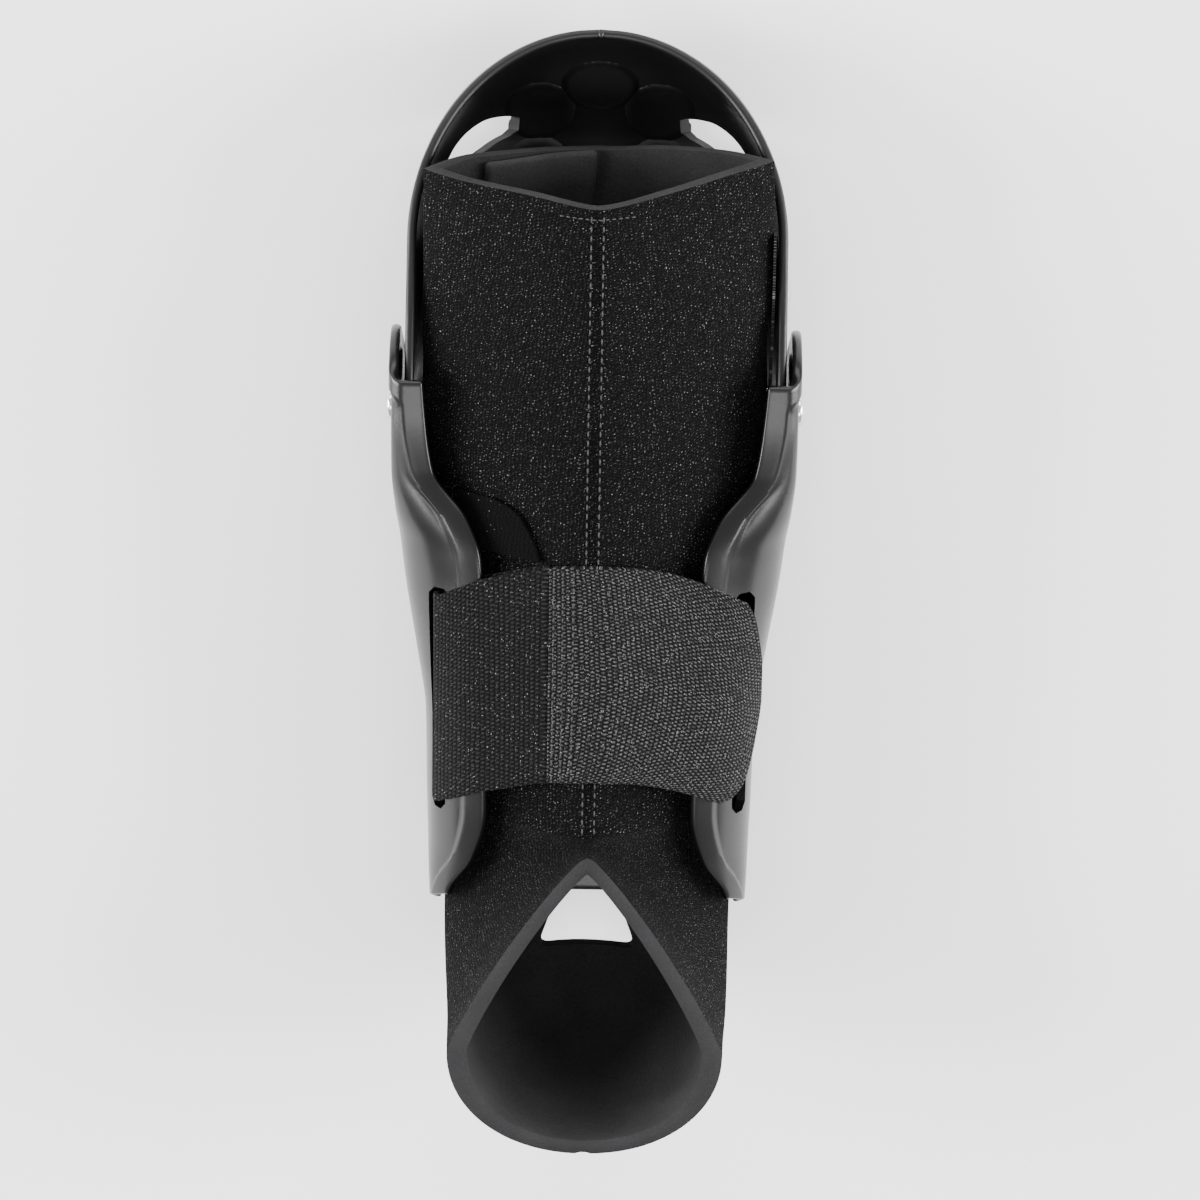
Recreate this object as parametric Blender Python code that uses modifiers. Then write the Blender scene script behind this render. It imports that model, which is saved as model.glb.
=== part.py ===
"""Hinged ankle support: hard calf cup and lower shell, padded knit sleeve, wide strap.

The guard lies on its back. X runs across the leg, Y up the leg towards the calf and Z out of the
front of the shin. Every piece hangs from one empty on the rivet axis, about which the calf cup turns,
so the shape functions below measure from that axis.
"""

import math

import bmesh
import bpy
import numpy as np
from mathutils import Matrix, Vector

# Driving sizes, in metres
PIVOT_HEIGHT = 0.050  # rivet axis above the surface that the back lies on
CUP_REACH = 0.0987  # rivet axis to the top of the calf cup
CUP_CENTRE = 0.0450  # rivet axis to the centre of the cup's round top
HEEL_REACH = 0.1528  # rivet axis to the lower shell's back edge
TIP_REACH = 0.1336  # rivet axis to the lower shell's wing tips
EAR_HALF_WIDTH = 0.0544  # middle of the leg to the outside of an ear
EAR_RADIUS = 0.0200
ARM_RADIUS = 0.0125
WING_FRONT = 0.0290  # rivet axis to the front of the wings
SHELL_WALL = 0.0026
BACK_FLAT = 0.0170  # half the width of the flat back strip
BACK_GAP = 0.0080  # between cup and lower shell at the back
RUN_CLEARANCE = 0.0008  # beside a moving arm
SEAT_GAP = 0.0003  # between pieces that touch

SLEEVE_TOP = 0.0655  # rivet axis to the sleeve's upper edge
SLEEVE_CLEARANCE = 0.0018  # between a cup arm and the sleeve's side
SLEEVE_FRONT = 0.0380  # rivet axis to the front seam
SLEEVE_WALL = 0.0038
INSTEP_REACH = 0.1100  # rivet axis to the bend over the instep
INSTEP_RADIUS = 0.0035
FOOT_DEPTH = 0.0852  # height of the foot opening
HEEL_HOLE_WIDTH = 0.0280
HEEL_HOLE_HEIGHT = 0.0220
HEEL_HOLE_REACH = 0.1625  # rivet axis to the lower edge of the heel hole
HEEL_HOLE_CORNER = 0.0050
HEEL_HOLE_TOP = 0.30  # share of its width that the heel hole keeps at its upper edge
FOOT_TURN = 90.0  # degrees that the sleeve bends from leg to foot
SHARP_CORNER = 0.45  # how much a wall's reach grows as its corner sharpens

STRAP_WIDTH = 0.0600
STRAP_REACH = 0.0640  # rivet axis to the strap's middle line, over the seam
STRAP_DROP = 0.0135  # how much lower the strap runs at its slots
STRAP_WALL = 0.0024
LOOP_WALL = 0.0016
LOOP_LENGTH = 0.0300  # from the slot to the stitched join
SLOT_LENGTH = 0.0640
SLOT_WIDTH = 0.0080
SLOT_INSET = 0.0134  # outside of an ear to the middle of a slot, across the leg
STRAP_END_ROUND = 0.0140
STRAP_END_HEIGHT = 0.0050  # rivet axis height at which the strap's end lies on the wing

RIVET_HEAD_RADIUS = 0.0044
RIVET_HEAD_HEIGHT = 0.0021
RIVET_SHANK_RADIUS = 0.0022
RIVET_FLANGE_RADIUS = 0.0040
RIVET_FLANGE_WALL = 0.0010

PATCH_WALL = 0.0010
HOOK_STRIP_WALL = 0.0008
HOOK_STRIP_LENGTH = 0.0440
HOOK_STRIP_WIDTH = 0.0070

# Shape numbers, as shares or powers
EDGE_TURN = 0.60  # share of the half width over which a wide edge turns in
EAR_SWELL = 2.4  # power of the curve from the back's upper edge to an ear
TIP_SWEEP = 1.6  # power of the curve from the back's lower edge to a wing tip
SLOT_END = 0.45  # width that a slot keeps at its very end
SHOULDER_SPREAD = 0.12  # of the way to the wing, where the strap starts to fall from the seam
SHOULDER_FALL = 0.03  # of its fall that the strap has made there
STRAP_END_FULLNESS = 0.97  # how far round the strap's end curves at its corners
LOOP_TURN = 0.10  # of the slot's width, from its middle to where the elastic turns down

# Worked-out sizes
SOLE_REACH = INSTEP_REACH + INSTEP_RADIUS + FOOT_DEPTH
ARM_HALF_WIDTH = EAR_HALF_WIDTH - SHELL_WALL - RUN_CLEARANCE
SLEEVE_HALF_WIDTH = ARM_HALF_WIDTH - SHELL_WALL - SLEEVE_CLEARANCE
SLOT_SPREAD = EAR_HALF_WIDTH - SLOT_INSET  # middle of the leg to the middle of a slot
PIVOT_Y = (SOLE_REACH - CUP_REACH) / 2
FOOT_PIVOT_HEIGHT = SLEEVE_FRONT + INSTEP_RADIUS
EDGE_ROUND = 1.35 * SHELL_WALL  # the turned-in edge beside an ear
DENSE = 90  # points read along one half of a section

# Columns of faces round half a shell: first and last share of its section, and their number
LOWER_SPACING = ((0.0, 0.62, 6), (0.70, 1.0, 8))
CUP_SPACING = ((0.0, 0.66, 7), (0.74, 1.0, 7))

# Lower shell, from the ear tops down. down: share of HEEL_REACH. width: share of EAR_HALF_WIDTH.
# front: share of WING_FRONT. turn: 0 for a tight edge, 1 for a wide one. edge: share of EAR_HALF_WIDTH
# at which the front edge stops. side: share of PIVOT_HEIGHT below the axis where the side is upright.
LOWER_COLUMNS = ("down", "width", "front", "turn", "edge", "side")
LOWER_SECTIONS = (
    (-0.140, 1.000, 0.590, 0.00, 0.870, 0.22),
    (0.000, 1.000, 0.600, 0.00, 0.840, 0.22),
    (0.092, 0.998, 0.640, 0.15, 0.800, 0.20),
    (0.170, 0.980, 0.790, 0.55, 0.630, 0.15),
    (0.235, 0.957, 0.930, 0.92, 0.560, 0.10),
    (0.300, 0.936, 0.970, 1.00, 0.545, 0.06),
    (0.440, 0.872, 1.000, 1.00, 0.535, 0.04),
    (0.560, 0.824, 1.000, 1.00, 0.525, 0.04),
    (0.700, 0.816, 0.970, 1.00, 0.525, 0.04),
    (0.790, 0.808, 0.900, 1.00, 0.580, 0.04),
    (0.860, 0.802, 0.760, 0.90, 0.690, 0.04),
    (1.000, 0.780, 0.500, 0.70, 0.780, 0.04),
)

# Sleeve down the leg. up: share of SLEEVE_TOP, or of INSTEP_REACH below the axis. width: share of
# SLEEVE_HALF_WIDTH. front, back and widest: shares of SLEEVE_FRONT. ridge and round: how square the
# front and the back are, 1 for straight sides and 2 for an ellipse.
LEG_COLUMNS = ("up", "width", "front", "back", "widest", "ridge", "round")
LEG_SECTIONS = (
    (1.000, 1.000, 1.000, 0.580, 0.100, 1.12, 1.15),
    (0.620, 1.000, 1.010, 0.700, 0.060, 1.20, 1.35),
    (0.230, 0.995, 1.010, 0.810, 0.020, 1.28, 1.60),
    (0.000, 0.990, 1.005, 0.860, 0.000, 1.28, 1.80),
    (-0.270, 0.975, 1.000, 0.920, 0.000, 1.26, 2.00),
    (-0.540, 0.940, 0.985, 0.950, 0.000, 1.24, 2.00),
    (-0.800, 0.895, 0.985, 0.970, 0.000, 1.24, 2.00),
    (-1.000, 0.868, 1.000, 0.980, 0.000, 1.28, 2.00),
)

# Sleeve round the heel. turn: degrees about the instep. width: share of SLEEVE_HALF_WIDTH.
# depth: share of FOOT_DEPTH. widest: share of that depth. ridge and round: as down the leg.
FOOT_COLUMNS = ("turn", "width", "depth", "widest", "ridge", "round")
FOOT_SECTIONS = (
    (0.0, 0.868, 0.883, 0.505, 1.28, 2.00),
    (18.0, 0.850, 0.965, 0.520, 1.24, 2.00),
    (36.0, 0.838, 1.015, 0.550, 1.20, 2.00),
    (56.0, 0.826, 1.030, 0.590, 1.17, 2.05),
    (74.0, 0.812, 1.020, 0.630, 1.15, 2.10),
    (90.0, 0.800, 1.000, 0.660, 1.15, 2.10),
)

# Calf cup. up: share of CUP_REACH. back, edge and side: heights behind the axis of the back, of the
# front edge and of where the side turns upright, shares of PIVOT_HEIGHT.
CUP_COLUMNS = ("up", "back", "edge", "side")
CUP_SECTIONS = (
    (-0.150, 1.000, -0.250, 0.120),
    (0.060, 1.000, -0.240, 0.120),
    (0.240, 1.000, -0.140, 0.080),
    (0.430, 1.000, 0.010, 0.070),
    (0.640, 1.000, 0.150, 0.180),
    (0.740, 0.950, 0.230, 0.250),
    (0.860, 0.790, 0.330, 0.340),
    (0.950, 0.600, 0.400, 0.400),
    (1.000, 0.440, 0.440, 0.440),
)
CUP_FLAT = 0.25  # share of the cup's half width that is flat at the back

# Window in each side of the cup. up: share of CUP_REACH. across: share of ARM_HALF_WIDTH. wide:
# share of WINDOW_WIDTH.
WINDOW_COLUMNS = ("up", "across", "wide")
WINDOW_LINE = (
    (0.690, 0.575, 0.50),
    (0.668, 0.680, 0.85),
    (0.632, 0.760, 0.90),
    (0.580, 0.810, 0.95),
    (0.480, 0.845, 1.00),
    (0.365, 0.845, 0.50),
)
WINDOW_WIDTH = 0.0110
WINDOW_SLANT = math.radians(52.0)  # how far the cut leans out from the leg's front

# Stitched patch on the sleeve's front: share of STRAP_REACH below the axis, then where its inner
# and its outer edge lie, as shares of SLEEVE_HALF_WIDTH.
PATCH_ROWS = (
    (0.310, 0.560, 0.760),
    (0.345, 0.440, 0.780),
    (0.410, 0.370, 0.790),
    (0.480, 0.320, 0.790),
    (0.540, 0.290, 0.700),
)

# Crown of a rivet's head: share of its radius, then of its height
RIVET_CROWN = ((0.0, 1.0), (0.55, 0.93), (0.86, 0.68), (1.0, 0.28))

MATERIALS = {
    "moulded_black": ((0.012, 0.012, 0.013, 1.0), 0.32, 0.0),
    "knit_neoprene": ((0.020, 0.020, 0.021, 1.0), 0.85, 0.0),
    "woven_elastic": ((0.015, 0.015, 0.016, 1.0), 0.75, 0.0),
    "ribbed_strap": ((0.018, 0.017, 0.017, 1.0), 0.80, 0.0),
    "hook_tape": ((0.022, 0.021, 0.020, 1.0), 0.80, 0.0),
    "polished_rivet": ((0.72, 0.72, 0.73, 1.0), 0.22, 1.0),
}


def clear_scene():
    """Removes whatever the file opened with."""
    for obj in list(bpy.data.objects):
        bpy.data.objects.remove(obj, do_unlink=True)


def column(columns, rows, name):
    """One named column of a table, as an array."""
    place = columns.index(name)
    return np.array([row[place] for row in rows], dtype=float)


def spaced(runs):
    """Shares along a section, from runs of evenly spaced ones."""
    return np.concatenate([np.linspace(*run) for run in runs])


def smooth_read(places, values, at):
    """Reads a table along a smooth line that never overshoots its rows."""
    places, values = np.asarray(places, float), np.asarray(values, float)
    if places[0] > places[-1]:
        places, values = places[::-1], values[::-1]
    at = np.clip(np.asarray(at, float), places[0], places[-1])
    step = np.diff(places)
    slope = np.diff(values) / step
    tangent = np.zeros(len(places))
    tangent[0], tangent[-1] = slope[0], slope[-1]
    same_way = slope[:-1] * slope[1:] > 0
    before, after = 2 * step[1:] + step[:-1], step[1:] + 2 * step[:-1]
    safe_slope = np.where(slope == 0, 1.0, slope)
    mean = (before + after) / (before / safe_slope[:-1] + after / safe_slope[1:] + 1e-30)
    tangent[1:-1] = np.where(same_way, mean, 0.0)
    cell = np.clip(np.searchsorted(places, at, side="right") - 1, 0, len(step) - 1)
    t = (at - places[cell]) / step[cell]
    return (
        values[cell] * (1 + 2 * t) * (1 - t) ** 2
        + tangent[cell] * step[cell] * t * (1 - t) ** 2
        + values[cell + 1] * t * t * (3 - 2 * t)
        - tangent[cell + 1] * step[cell] * t * t * (1 - t)
    )


def along(line, shares):
    """Points at the given shares of a polyline's length."""
    length = np.concatenate(([0.0], np.cumsum(np.linalg.norm(np.diff(line, axis=0), axis=1))))
    wanted = np.asarray(shares, float) * length[-1]
    return np.stack([np.interp(wanted, length, line[:, k]) for k in range(line.shape[1])], axis=1)


def lower_section(y):
    """Half of the lower shell's outer section at one height, from the flat strip's edge to the front
    edge, as (x, z) points."""

    def read(name):
        return float(
            smooth_read(
                column(LOWER_COLUMNS, LOWER_SECTIONS, "down") * HEEL_REACH,
                column(LOWER_COLUMNS, LOWER_SECTIONS, name),
                -y,
            )
        )

    half_width = read("width") * EAR_HALF_WIDTH
    front = read("front") * WING_FRONT
    turn = read("turn")
    edge = read("edge") * EAR_HALF_WIDTH
    side = -read("side") * PIVOT_HEIGHT
    round_x = EDGE_ROUND + turn * (EDGE_TURN * half_width - EDGE_ROUND)
    round_z = EDGE_ROUND + turn * (front - EDGE_ROUND)
    angle = np.linspace(0, math.pi / 2, DENSE)
    back = np.stack(
        [
            BACK_FLAT + (half_width - BACK_FLAT) * np.sin(angle),
            side - (PIVOT_HEIGHT + side) * np.cos(angle),
        ],
        1,
    )
    corner = np.stack(
        [half_width - round_x * (1 - np.cos(angle)), front - round_z * (1 - np.sin(angle))], 1
    )
    inward = np.array([[0.0, front]])
    line = np.concatenate([back, corner, inward])
    keep = (line[:, 0] > edge) | (line[:, 1] < 0)
    last = int(np.nonzero(keep)[0][-1])
    over = line[last + 1]
    share = (line[last, 0] - edge) / max(line[last, 0] - over[0], 1e-9)
    return np.concatenate([line[: last + 1], [line[last] + share * (over - line[last])]])


def offset_line(line, distance):
    """A section line moved outwards, away from the leg."""
    run = np.gradient(line, axis=0)
    run /= np.linalg.norm(run, axis=1, keepdims=True)
    return line + distance * np.stack([run[:, 1], -run[:, 0]], 1)


def make_object(name, bm, material, collection, parent):
    """Turns built geometry into a named object hanging from its parent."""
    mesh = bpy.data.meshes.new(name)
    bm.to_mesh(mesh)
    bm.free()
    mesh.shade_smooth()
    mesh.set_sharp_from_angle(angle=math.radians(40))
    if material:
        mesh.materials.append(material)
    obj = bpy.data.objects.new(name, mesh)
    collection.objects.link(obj)
    obj.parent = parent
    return obj


def lofted(rows, closed=False):
    """A surface through rows of points, facing away from the leg's axis."""
    bm = bmesh.new()
    grid = [[bm.verts.new(Vector(point)) for point in row] for row in rows]
    across = len(rows[0])
    for lower, upper in zip(grid, grid[1:]):
        for j in range(across if closed else across - 1):
            k = (j + 1) % across
            bm.faces.new((lower[j], lower[k], upper[k], upper[j]))
    bmesh.ops.remove_doubles(bm, verts=bm.verts, dist=1e-6)
    bm.normal_update()
    facing = 0.0
    for face in bm.faces:
        middle = face.calc_center_median()
        facing += face.calc_area() * face.normal.dot(Vector((middle.x, 0, middle.z)))
    if facing < 0:
        bmesh.ops.reverse_faces(bm, faces=bm.faces)
    return bm


def add_wall(obj, thickness, outwards=False):
    """Gives a surface its wall."""
    solid = obj.modifiers.new("wall", "SOLIDIFY")
    solid.thickness = thickness
    solid.offset = 1.0 if outwards else -1.0
    solid.use_even_offset = True
    solid.use_rim = True


def cut(obj, cutter):
    """Takes a cutter's shape out of an object."""
    taken = obj.modifiers.new("cut_" + cutter.name, "BOOLEAN")
    taken.operation = "DIFFERENCE"
    taken.solver = "EXACT"
    taken.object = cutter


def make_cutter(name, bm, cutters, parent):
    """A hidden shape that only cuts."""
    bmesh.ops.recalc_face_normals(bm, faces=bm.faces)
    cutter = make_object(name, bm, None, cutters, parent)
    cutter.hide_render = True
    cutter.display_type = "WIRE"
    return cutter


def prism(outline, near, far, turn=None):
    """A closed prism through an outline of (x, y) points, between two heights."""
    bm = bmesh.new()
    face = bm.faces.new([bm.verts.new((x, y, near)) for x, y in outline])
    grown = bmesh.ops.extrude_face_region(bm, geom=[face])
    top = [v for v in grown["geom"] if isinstance(v, bmesh.types.BMVert)]
    bmesh.ops.translate(bm, verts=top, vec=(0, 0, far - near))
    if turn is not None:
        bmesh.ops.transform(bm, matrix=turn, verts=bm.verts)
    return bm


def rounded_corners(corners, radius, steps=4):
    """A closed outline with its corners rounded."""
    outline = []
    count = len(corners)
    for i in range(count):
        corner = np.array(corners[i], float)
        for_side = np.array(corners[i - 1], float) - corner
        aft_side = np.array(corners[(i + 1) % count], float) - corner
        start = corner + for_side / np.linalg.norm(for_side) * radius
        end = corner + aft_side / np.linalg.norm(aft_side) * radius
        for share in np.linspace(0, 1, steps):
            bent = (1 - share) ** 2 * start + 2 * share * (1 - share) * corner + share**2 * end
            outline.append(tuple(bent))
    return outline


def axis_cylinder(radius, half_length, sides=20):
    """A cylinder across the leg, on the rivet axis."""
    bm = bmesh.new()
    bmesh.ops.create_cone(
        bm,
        cap_ends=True,
        segments=sides,
        radius1=radius,
        radius2=radius,
        depth=2 * half_length,
        matrix=Matrix.Rotation(math.pi / 2, 4, "Y"),
    )
    return bm


def mirrored_row(points):
    """A whole row from its right half, which starts beside the middle."""
    left = [(-x, y, z) for x, y, z in reversed(points)]
    return left + list(points)


def build_lower_shell(material, collection, cutters, axis):
    """Heel shell with two ears and two wings that wrap to the front."""
    shares = spaced(LOWER_SPACING)
    at_ear = along(lower_section(0.0), shares)
    back_top = -BACK_GAP / 2
    rise = np.clip((at_ear[:, 1] + EAR_RADIUS) / EAR_RADIUS, 0, None)
    ear_shape = 1 - np.clip(1 - rise, 0, 1) ** EAR_SWELL
    front_fall = np.clip(at_ear[:, 1] / EAR_RADIUS, 0, 1)
    ear_top = EAR_RADIUS * np.sqrt(np.clip(1 - front_fall**2, 0, 1))
    ear_blend = np.where(rise > 0, ear_shape ** (1 / EAR_SWELL), 0.0)
    tops = back_top + (ear_top - back_top) * ear_blend
    bottoms = -HEEL_REACH + (HEEL_REACH - TIP_REACH) * shares**TIP_SWEEP
    rows = []
    for level in np.linspace(0, 1, 21):
        half = []
        for share, low, high in zip(shares, bottoms, tops):
            y = low + (high - low) * level
            x, z = along(lower_section(y), [share])[0]
            half.append((x, y, z))
        middle = (0.0, half[0][1], -PIVOT_HEIGHT)
        rows.append(mirrored_row(half)[: len(half)] + [middle] + half)
    obj = make_object("lower_shell", lofted(rows), material, collection, axis)
    add_wall(obj, SHELL_WALL)
    hole_radius = RIVET_SHANK_RADIUS + SEAT_GAP
    hole = make_cutter("ear_hole", axis_cylinder(hole_radius, 2 * EAR_HALF_WIDTH), cutters, axis)
    cut(obj, hole)
    for name, side in (("slot_left", -1), ("slot_right", 1)):
        cut(obj, make_cutter(name, slot_body(side), cutters, axis))
    return obj


def slot_body(side):
    """Cutter for a strap slot, which follows the wing and has rounded ends."""
    middle_y = -STRAP_REACH - STRAP_DROP
    rows = []
    for level in np.linspace(-1, 1, 13):
        y = middle_y + level * SLOT_LENGTH / 2
        section = lower_section(y)
        front_part = section[section[:, 1] > 0]
        place = int(np.argmin(np.abs(front_part[:, 0] - SLOT_SPREAD)))
        run = front_part[place + 2] - front_part[place - 2]
        run /= np.linalg.norm(run)
        height = float(np.interp(SLOT_SPREAD, front_part[::-1, 0], front_part[::-1, 1]))
        from_end = (1 - abs(level)) * SLOT_LENGTH / SLOT_WIDTH * 1.5
        roundness = math.sqrt(max(0, 1 - (1 - min(from_end, 1)) ** 2))
        half = SLOT_WIDTH / 2 * (SLOT_END + (1 - SLOT_END) * roundness)
        ring_points = []
        for slide, lift in ((-1, -2.2), (1, -2.2), (1, 1.2), (-1, 1.2)):
            x = SLOT_SPREAD + slide * half * run[0] + lift * SHELL_WALL * run[1]
            z = height + slide * half * run[1] - lift * SHELL_WALL * run[0]
            ring_points.append((side * x, y, z))
        rows.append(ring_points)
    bm = lofted(rows, closed=True)
    bmesh.ops.holes_fill(bm, edges=bm.edges, sides=4)
    return bm


def cup_section(y):
    """Half of the calf cup's outer section, from the flat strip's edge to the front edge."""
    ups = column(CUP_COLUMNS, CUP_SECTIONS, "up") * CUP_REACH
    back, edge, side = (
        -PIVOT_HEIGHT * float(smooth_read(ups, column(CUP_COLUMNS, CUP_SECTIONS, name), y))
        for name in ("back", "edge", "side")
    )
    rise = max(y - CUP_CENTRE, 0.0) / (CUP_REACH - CUP_CENTRE)
    half_width = ARM_HALF_WIDTH * math.sqrt(max(1 - rise**2, 0.0))
    flat = CUP_FLAT * half_width
    angle = np.linspace(0, math.pi / 2, DENSE)
    bend = np.stack(
        [flat + (half_width - flat) * np.sin(angle), side - (side - back) * np.cos(angle)], 1
    )
    return np.concatenate([bend, [(half_width, edge)]])


def build_calf_cup(material, collection, cutters, axis):
    """Deep cup behind the calf, on two arms that turn inside the ears."""
    shares = spaced(CUP_SPACING)
    at_arm = along(cup_section(0.0), shares)
    back_low = BACK_GAP / 2
    behind = np.clip(-at_arm[:, 1] / ARM_RADIUS, 0, 1)
    ahead = np.clip(at_arm[:, 1] / ARM_RADIUS, 0, 1)
    arm_low = -ARM_RADIUS * np.sqrt(1 - np.maximum(behind, ahead) ** 2)
    bottoms = np.where(behind >= 1, back_low * (1 - shares), arm_low)
    straight = np.linspace(0, 1, 9)[:-1]
    arch = np.linspace(0, math.pi / 2, 11)
    rows = []
    for step in range(len(straight) + len(arch)):
        half = []
        for share, low in zip(shares, bottoms):
            if step < len(straight):
                y = low + (CUP_CENTRE - low) * straight[step]
            else:
                y = CUP_CENTRE + (CUP_REACH - CUP_CENTRE) * math.sin(arch[step - len(straight)])
            x, z = along(cup_section(y), [share])[0]
            half.append((x, y, z))
        middle = (0.0, half[0][1], half[0][2])
        rows.append(mirrored_row(half)[: len(half)] + [middle] + half)
    obj = make_object("calf_cup", lofted(rows), material, collection, axis)
    add_wall(obj, SHELL_WALL)
    hole_radius = RIVET_SHANK_RADIUS + RUN_CLEARANCE
    cut(obj, make_cutter("arm_hole", axis_cylinder(hole_radius, ARM_HALF_WIDTH * 1.5), cutters, axis))
    for name, way in (("window_left", -1), ("window_right", 1)):
        cut(obj, make_cutter(name, window_body(way), cutters, axis))
    return obj


def window_body(way):
    """Cutter for a side window, square to the cup's slanting side."""
    across = column(WINDOW_COLUMNS, WINDOW_LINE, "across") * ARM_HALF_WIDTH
    ups = column(WINDOW_COLUMNS, WINDOW_LINE, "up") * CUP_REACH
    middle_x, middle_y = across.mean(), ups.mean()
    line = np.stack([(across - middle_x) / math.cos(WINDOW_SLANT), ups - middle_y], 1)
    run = np.gradient(line, axis=0)
    run /= np.linalg.norm(run, axis=1, keepdims=True)
    wide = column(WINDOW_COLUMNS, WINDOW_LINE, "wide") * WINDOW_WIDTH
    half = np.stack([-run[:, 1], run[:, 0]], 1) * wide[:, None] / 2
    outline = np.concatenate([line + half, (line - half)[::-1]])
    section = cup_section(float(middle_y))
    height = float(np.interp(middle_x, section[:-1, 0], section[:-1, 1]))
    seat = Matrix.Translation((way * middle_x, middle_y, height))
    turn = seat @ Matrix.Rotation(-way * WINDOW_SLANT, 4, "Y")
    reach = EAR_HALF_WIDTH / 4
    return prism([(way * x, y) for x, y in outline], -1.5 * reach, reach, turn)


def ring(half_width, near, far, widest, ridge, back_round, count=36):
    """Closed section as (x, depth) points, starting at the front ridge."""
    points = []
    for angle in np.linspace(0, 2 * math.pi, count, endpoint=False):
        swing, reach = math.sin(angle), math.cos(angle)
        power = 2.0 / (ridge if reach > 0 else back_round)
        x = half_width * math.copysign(abs(swing) ** power, swing)
        room = (widest - near) if reach > 0 else (far - widest)
        points.append((x, widest - math.copysign(abs(reach) ** power, reach) * room))
    return points


def leg_sizes(y):
    """The sleeve's sizes at one height of the leg."""
    ups = column(LEG_COLUMNS, LEG_SECTIONS, "up")
    at = y / SLEEVE_TOP if y > 0 else y / INSTEP_REACH
    read = {
        name: float(smooth_read(ups, column(LEG_COLUMNS, LEG_SECTIONS, name), at))
        for name in LEG_COLUMNS[1:]
    }
    read["width"] *= SLEEVE_HALF_WIDTH
    for name in ("front", "back", "widest"):
        read[name] *= SLEEVE_FRONT
    return read


def sharp_wall(wall, power):
    """A wall's reach at a corner: longer where the section comes to a point."""
    return wall * (1 + SHARP_CORNER * max(2 - power, 0))


def leg_ring(y, wall):
    """Sleeve section across the leg, a wall inside its outer face, as (x, y, z) points."""
    leg = leg_sizes(y)
    section = ring(
        leg["width"] - sharp_wall(wall, min(leg["ridge"], leg["round"])),
        -leg["front"] + sharp_wall(wall, leg["ridge"]),
        leg["back"] - sharp_wall(wall, leg["round"]),
        -leg["widest"],
        leg["ridge"],
        leg["round"],
    )
    return [(x, y, -depth) for x, depth in section]


def foot_ring(turn, wall):
    """Sleeve section at an angle about the instep, as (x, y, z) points."""
    turns = column(FOOT_COLUMNS, FOOT_SECTIONS, "turn")
    foot = {
        name: float(smooth_read(turns, column(FOOT_COLUMNS, FOOT_SECTIONS, name), turn))
        for name in FOOT_COLUMNS[1:]
    }
    depth = foot["depth"] * FOOT_DEPTH
    section = ring(
        foot["width"] * SLEEVE_HALF_WIDTH - sharp_wall(wall, foot["ridge"]),
        INSTEP_RADIUS + sharp_wall(wall, foot["ridge"]),
        INSTEP_RADIUS + depth - wall,
        INSTEP_RADIUS + foot["widest"] * depth,
        foot["ridge"],
        foot["round"],
    )
    angle = math.radians(turn)
    return [
        (x, -INSTEP_REACH - r * math.sin(angle), FOOT_PIVOT_HEIGHT - r * math.cos(angle))
        for x, r in section
    ]


def ring_body(outer, inner):
    """A closed body between two stacks of rings that meet at both ends."""
    loops = list(outer) + list(reversed(inner))
    bm = bmesh.new()
    grid = [[bm.verts.new(Vector(point)) for point in loop] for loop in loops]
    count = len(grid[0])
    for i in range(len(grid)):
        this, following = grid[i], grid[(i + 1) % len(grid)]
        for j in range(count):
            k = (j + 1) % count
            bm.faces.new((this[j], this[k], following[k], following[j]))
    bmesh.ops.recalc_face_normals(bm, faces=bm.faces)
    return bm


def build_sleeve(material, collection, cutters, axis):
    """Padded knit tube from the calf to the foot, with a hole over the heel."""
    levels = np.concatenate(
        [np.linspace(SLEEVE_TOP, 0, 5), -INSTEP_REACH * np.linspace(0.18, 0.84, 5)]
    )
    turns = np.linspace(0, FOOT_TURN, 8)
    stacks = []
    for wall in (0.0, SLEEVE_WALL):
        rows = [leg_ring(float(y), wall) for y in levels]
        stacks.append(rows + [foot_ring(float(turn), wall) for turn in turns])
    obj = make_object("sleeve", ring_body(*stacks), material, collection, axis)
    low = -HEEL_HOLE_REACH
    high = low + HEEL_HOLE_HEIGHT
    half = HEEL_HOLE_WIDTH / 2
    half_top = half * HEEL_HOLE_TOP
    corners = [(-half, low), (half, low), (half_top, high), (-half_top, high)]
    outline = rounded_corners(corners, min(HEEL_HOLE_CORNER, 0.9 * half_top))
    bm = prism(outline, -1.4 * PIVOT_HEIGHT, -PIVOT_HEIGHT / 3)
    cut(obj, make_cutter("heel_hole", bm, cutters, axis))
    return obj


def sleeve_front(x, y):
    """Height of the sleeve's front surface at one place."""
    leg = leg_sizes(y)
    share = min(abs(x) / leg["width"], 1.0)
    return leg["widest"] + (leg["front"] - leg["widest"]) * (1 - share ** leg["ridge"]) ** (
        1 / leg["ridge"]
    )


def build_side_patch(material, collection, axis):
    """Rounded patch stitched on the sleeve, beside the left wing."""
    rows = []
    for down, inner, outer in PATCH_ROWS:
        y = -down * STRAP_REACH
        reach = np.linspace(inner, outer, 6) * SLEEVE_HALF_WIDTH
        rows.append([(-x, y, sleeve_front(x, y) + 2 * SEAT_GAP) for x in reach])
    obj = make_object("side_patch", lofted(rows), material, collection, axis)
    add_wall(obj, PATCH_WALL, outwards=True)
    return obj


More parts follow.
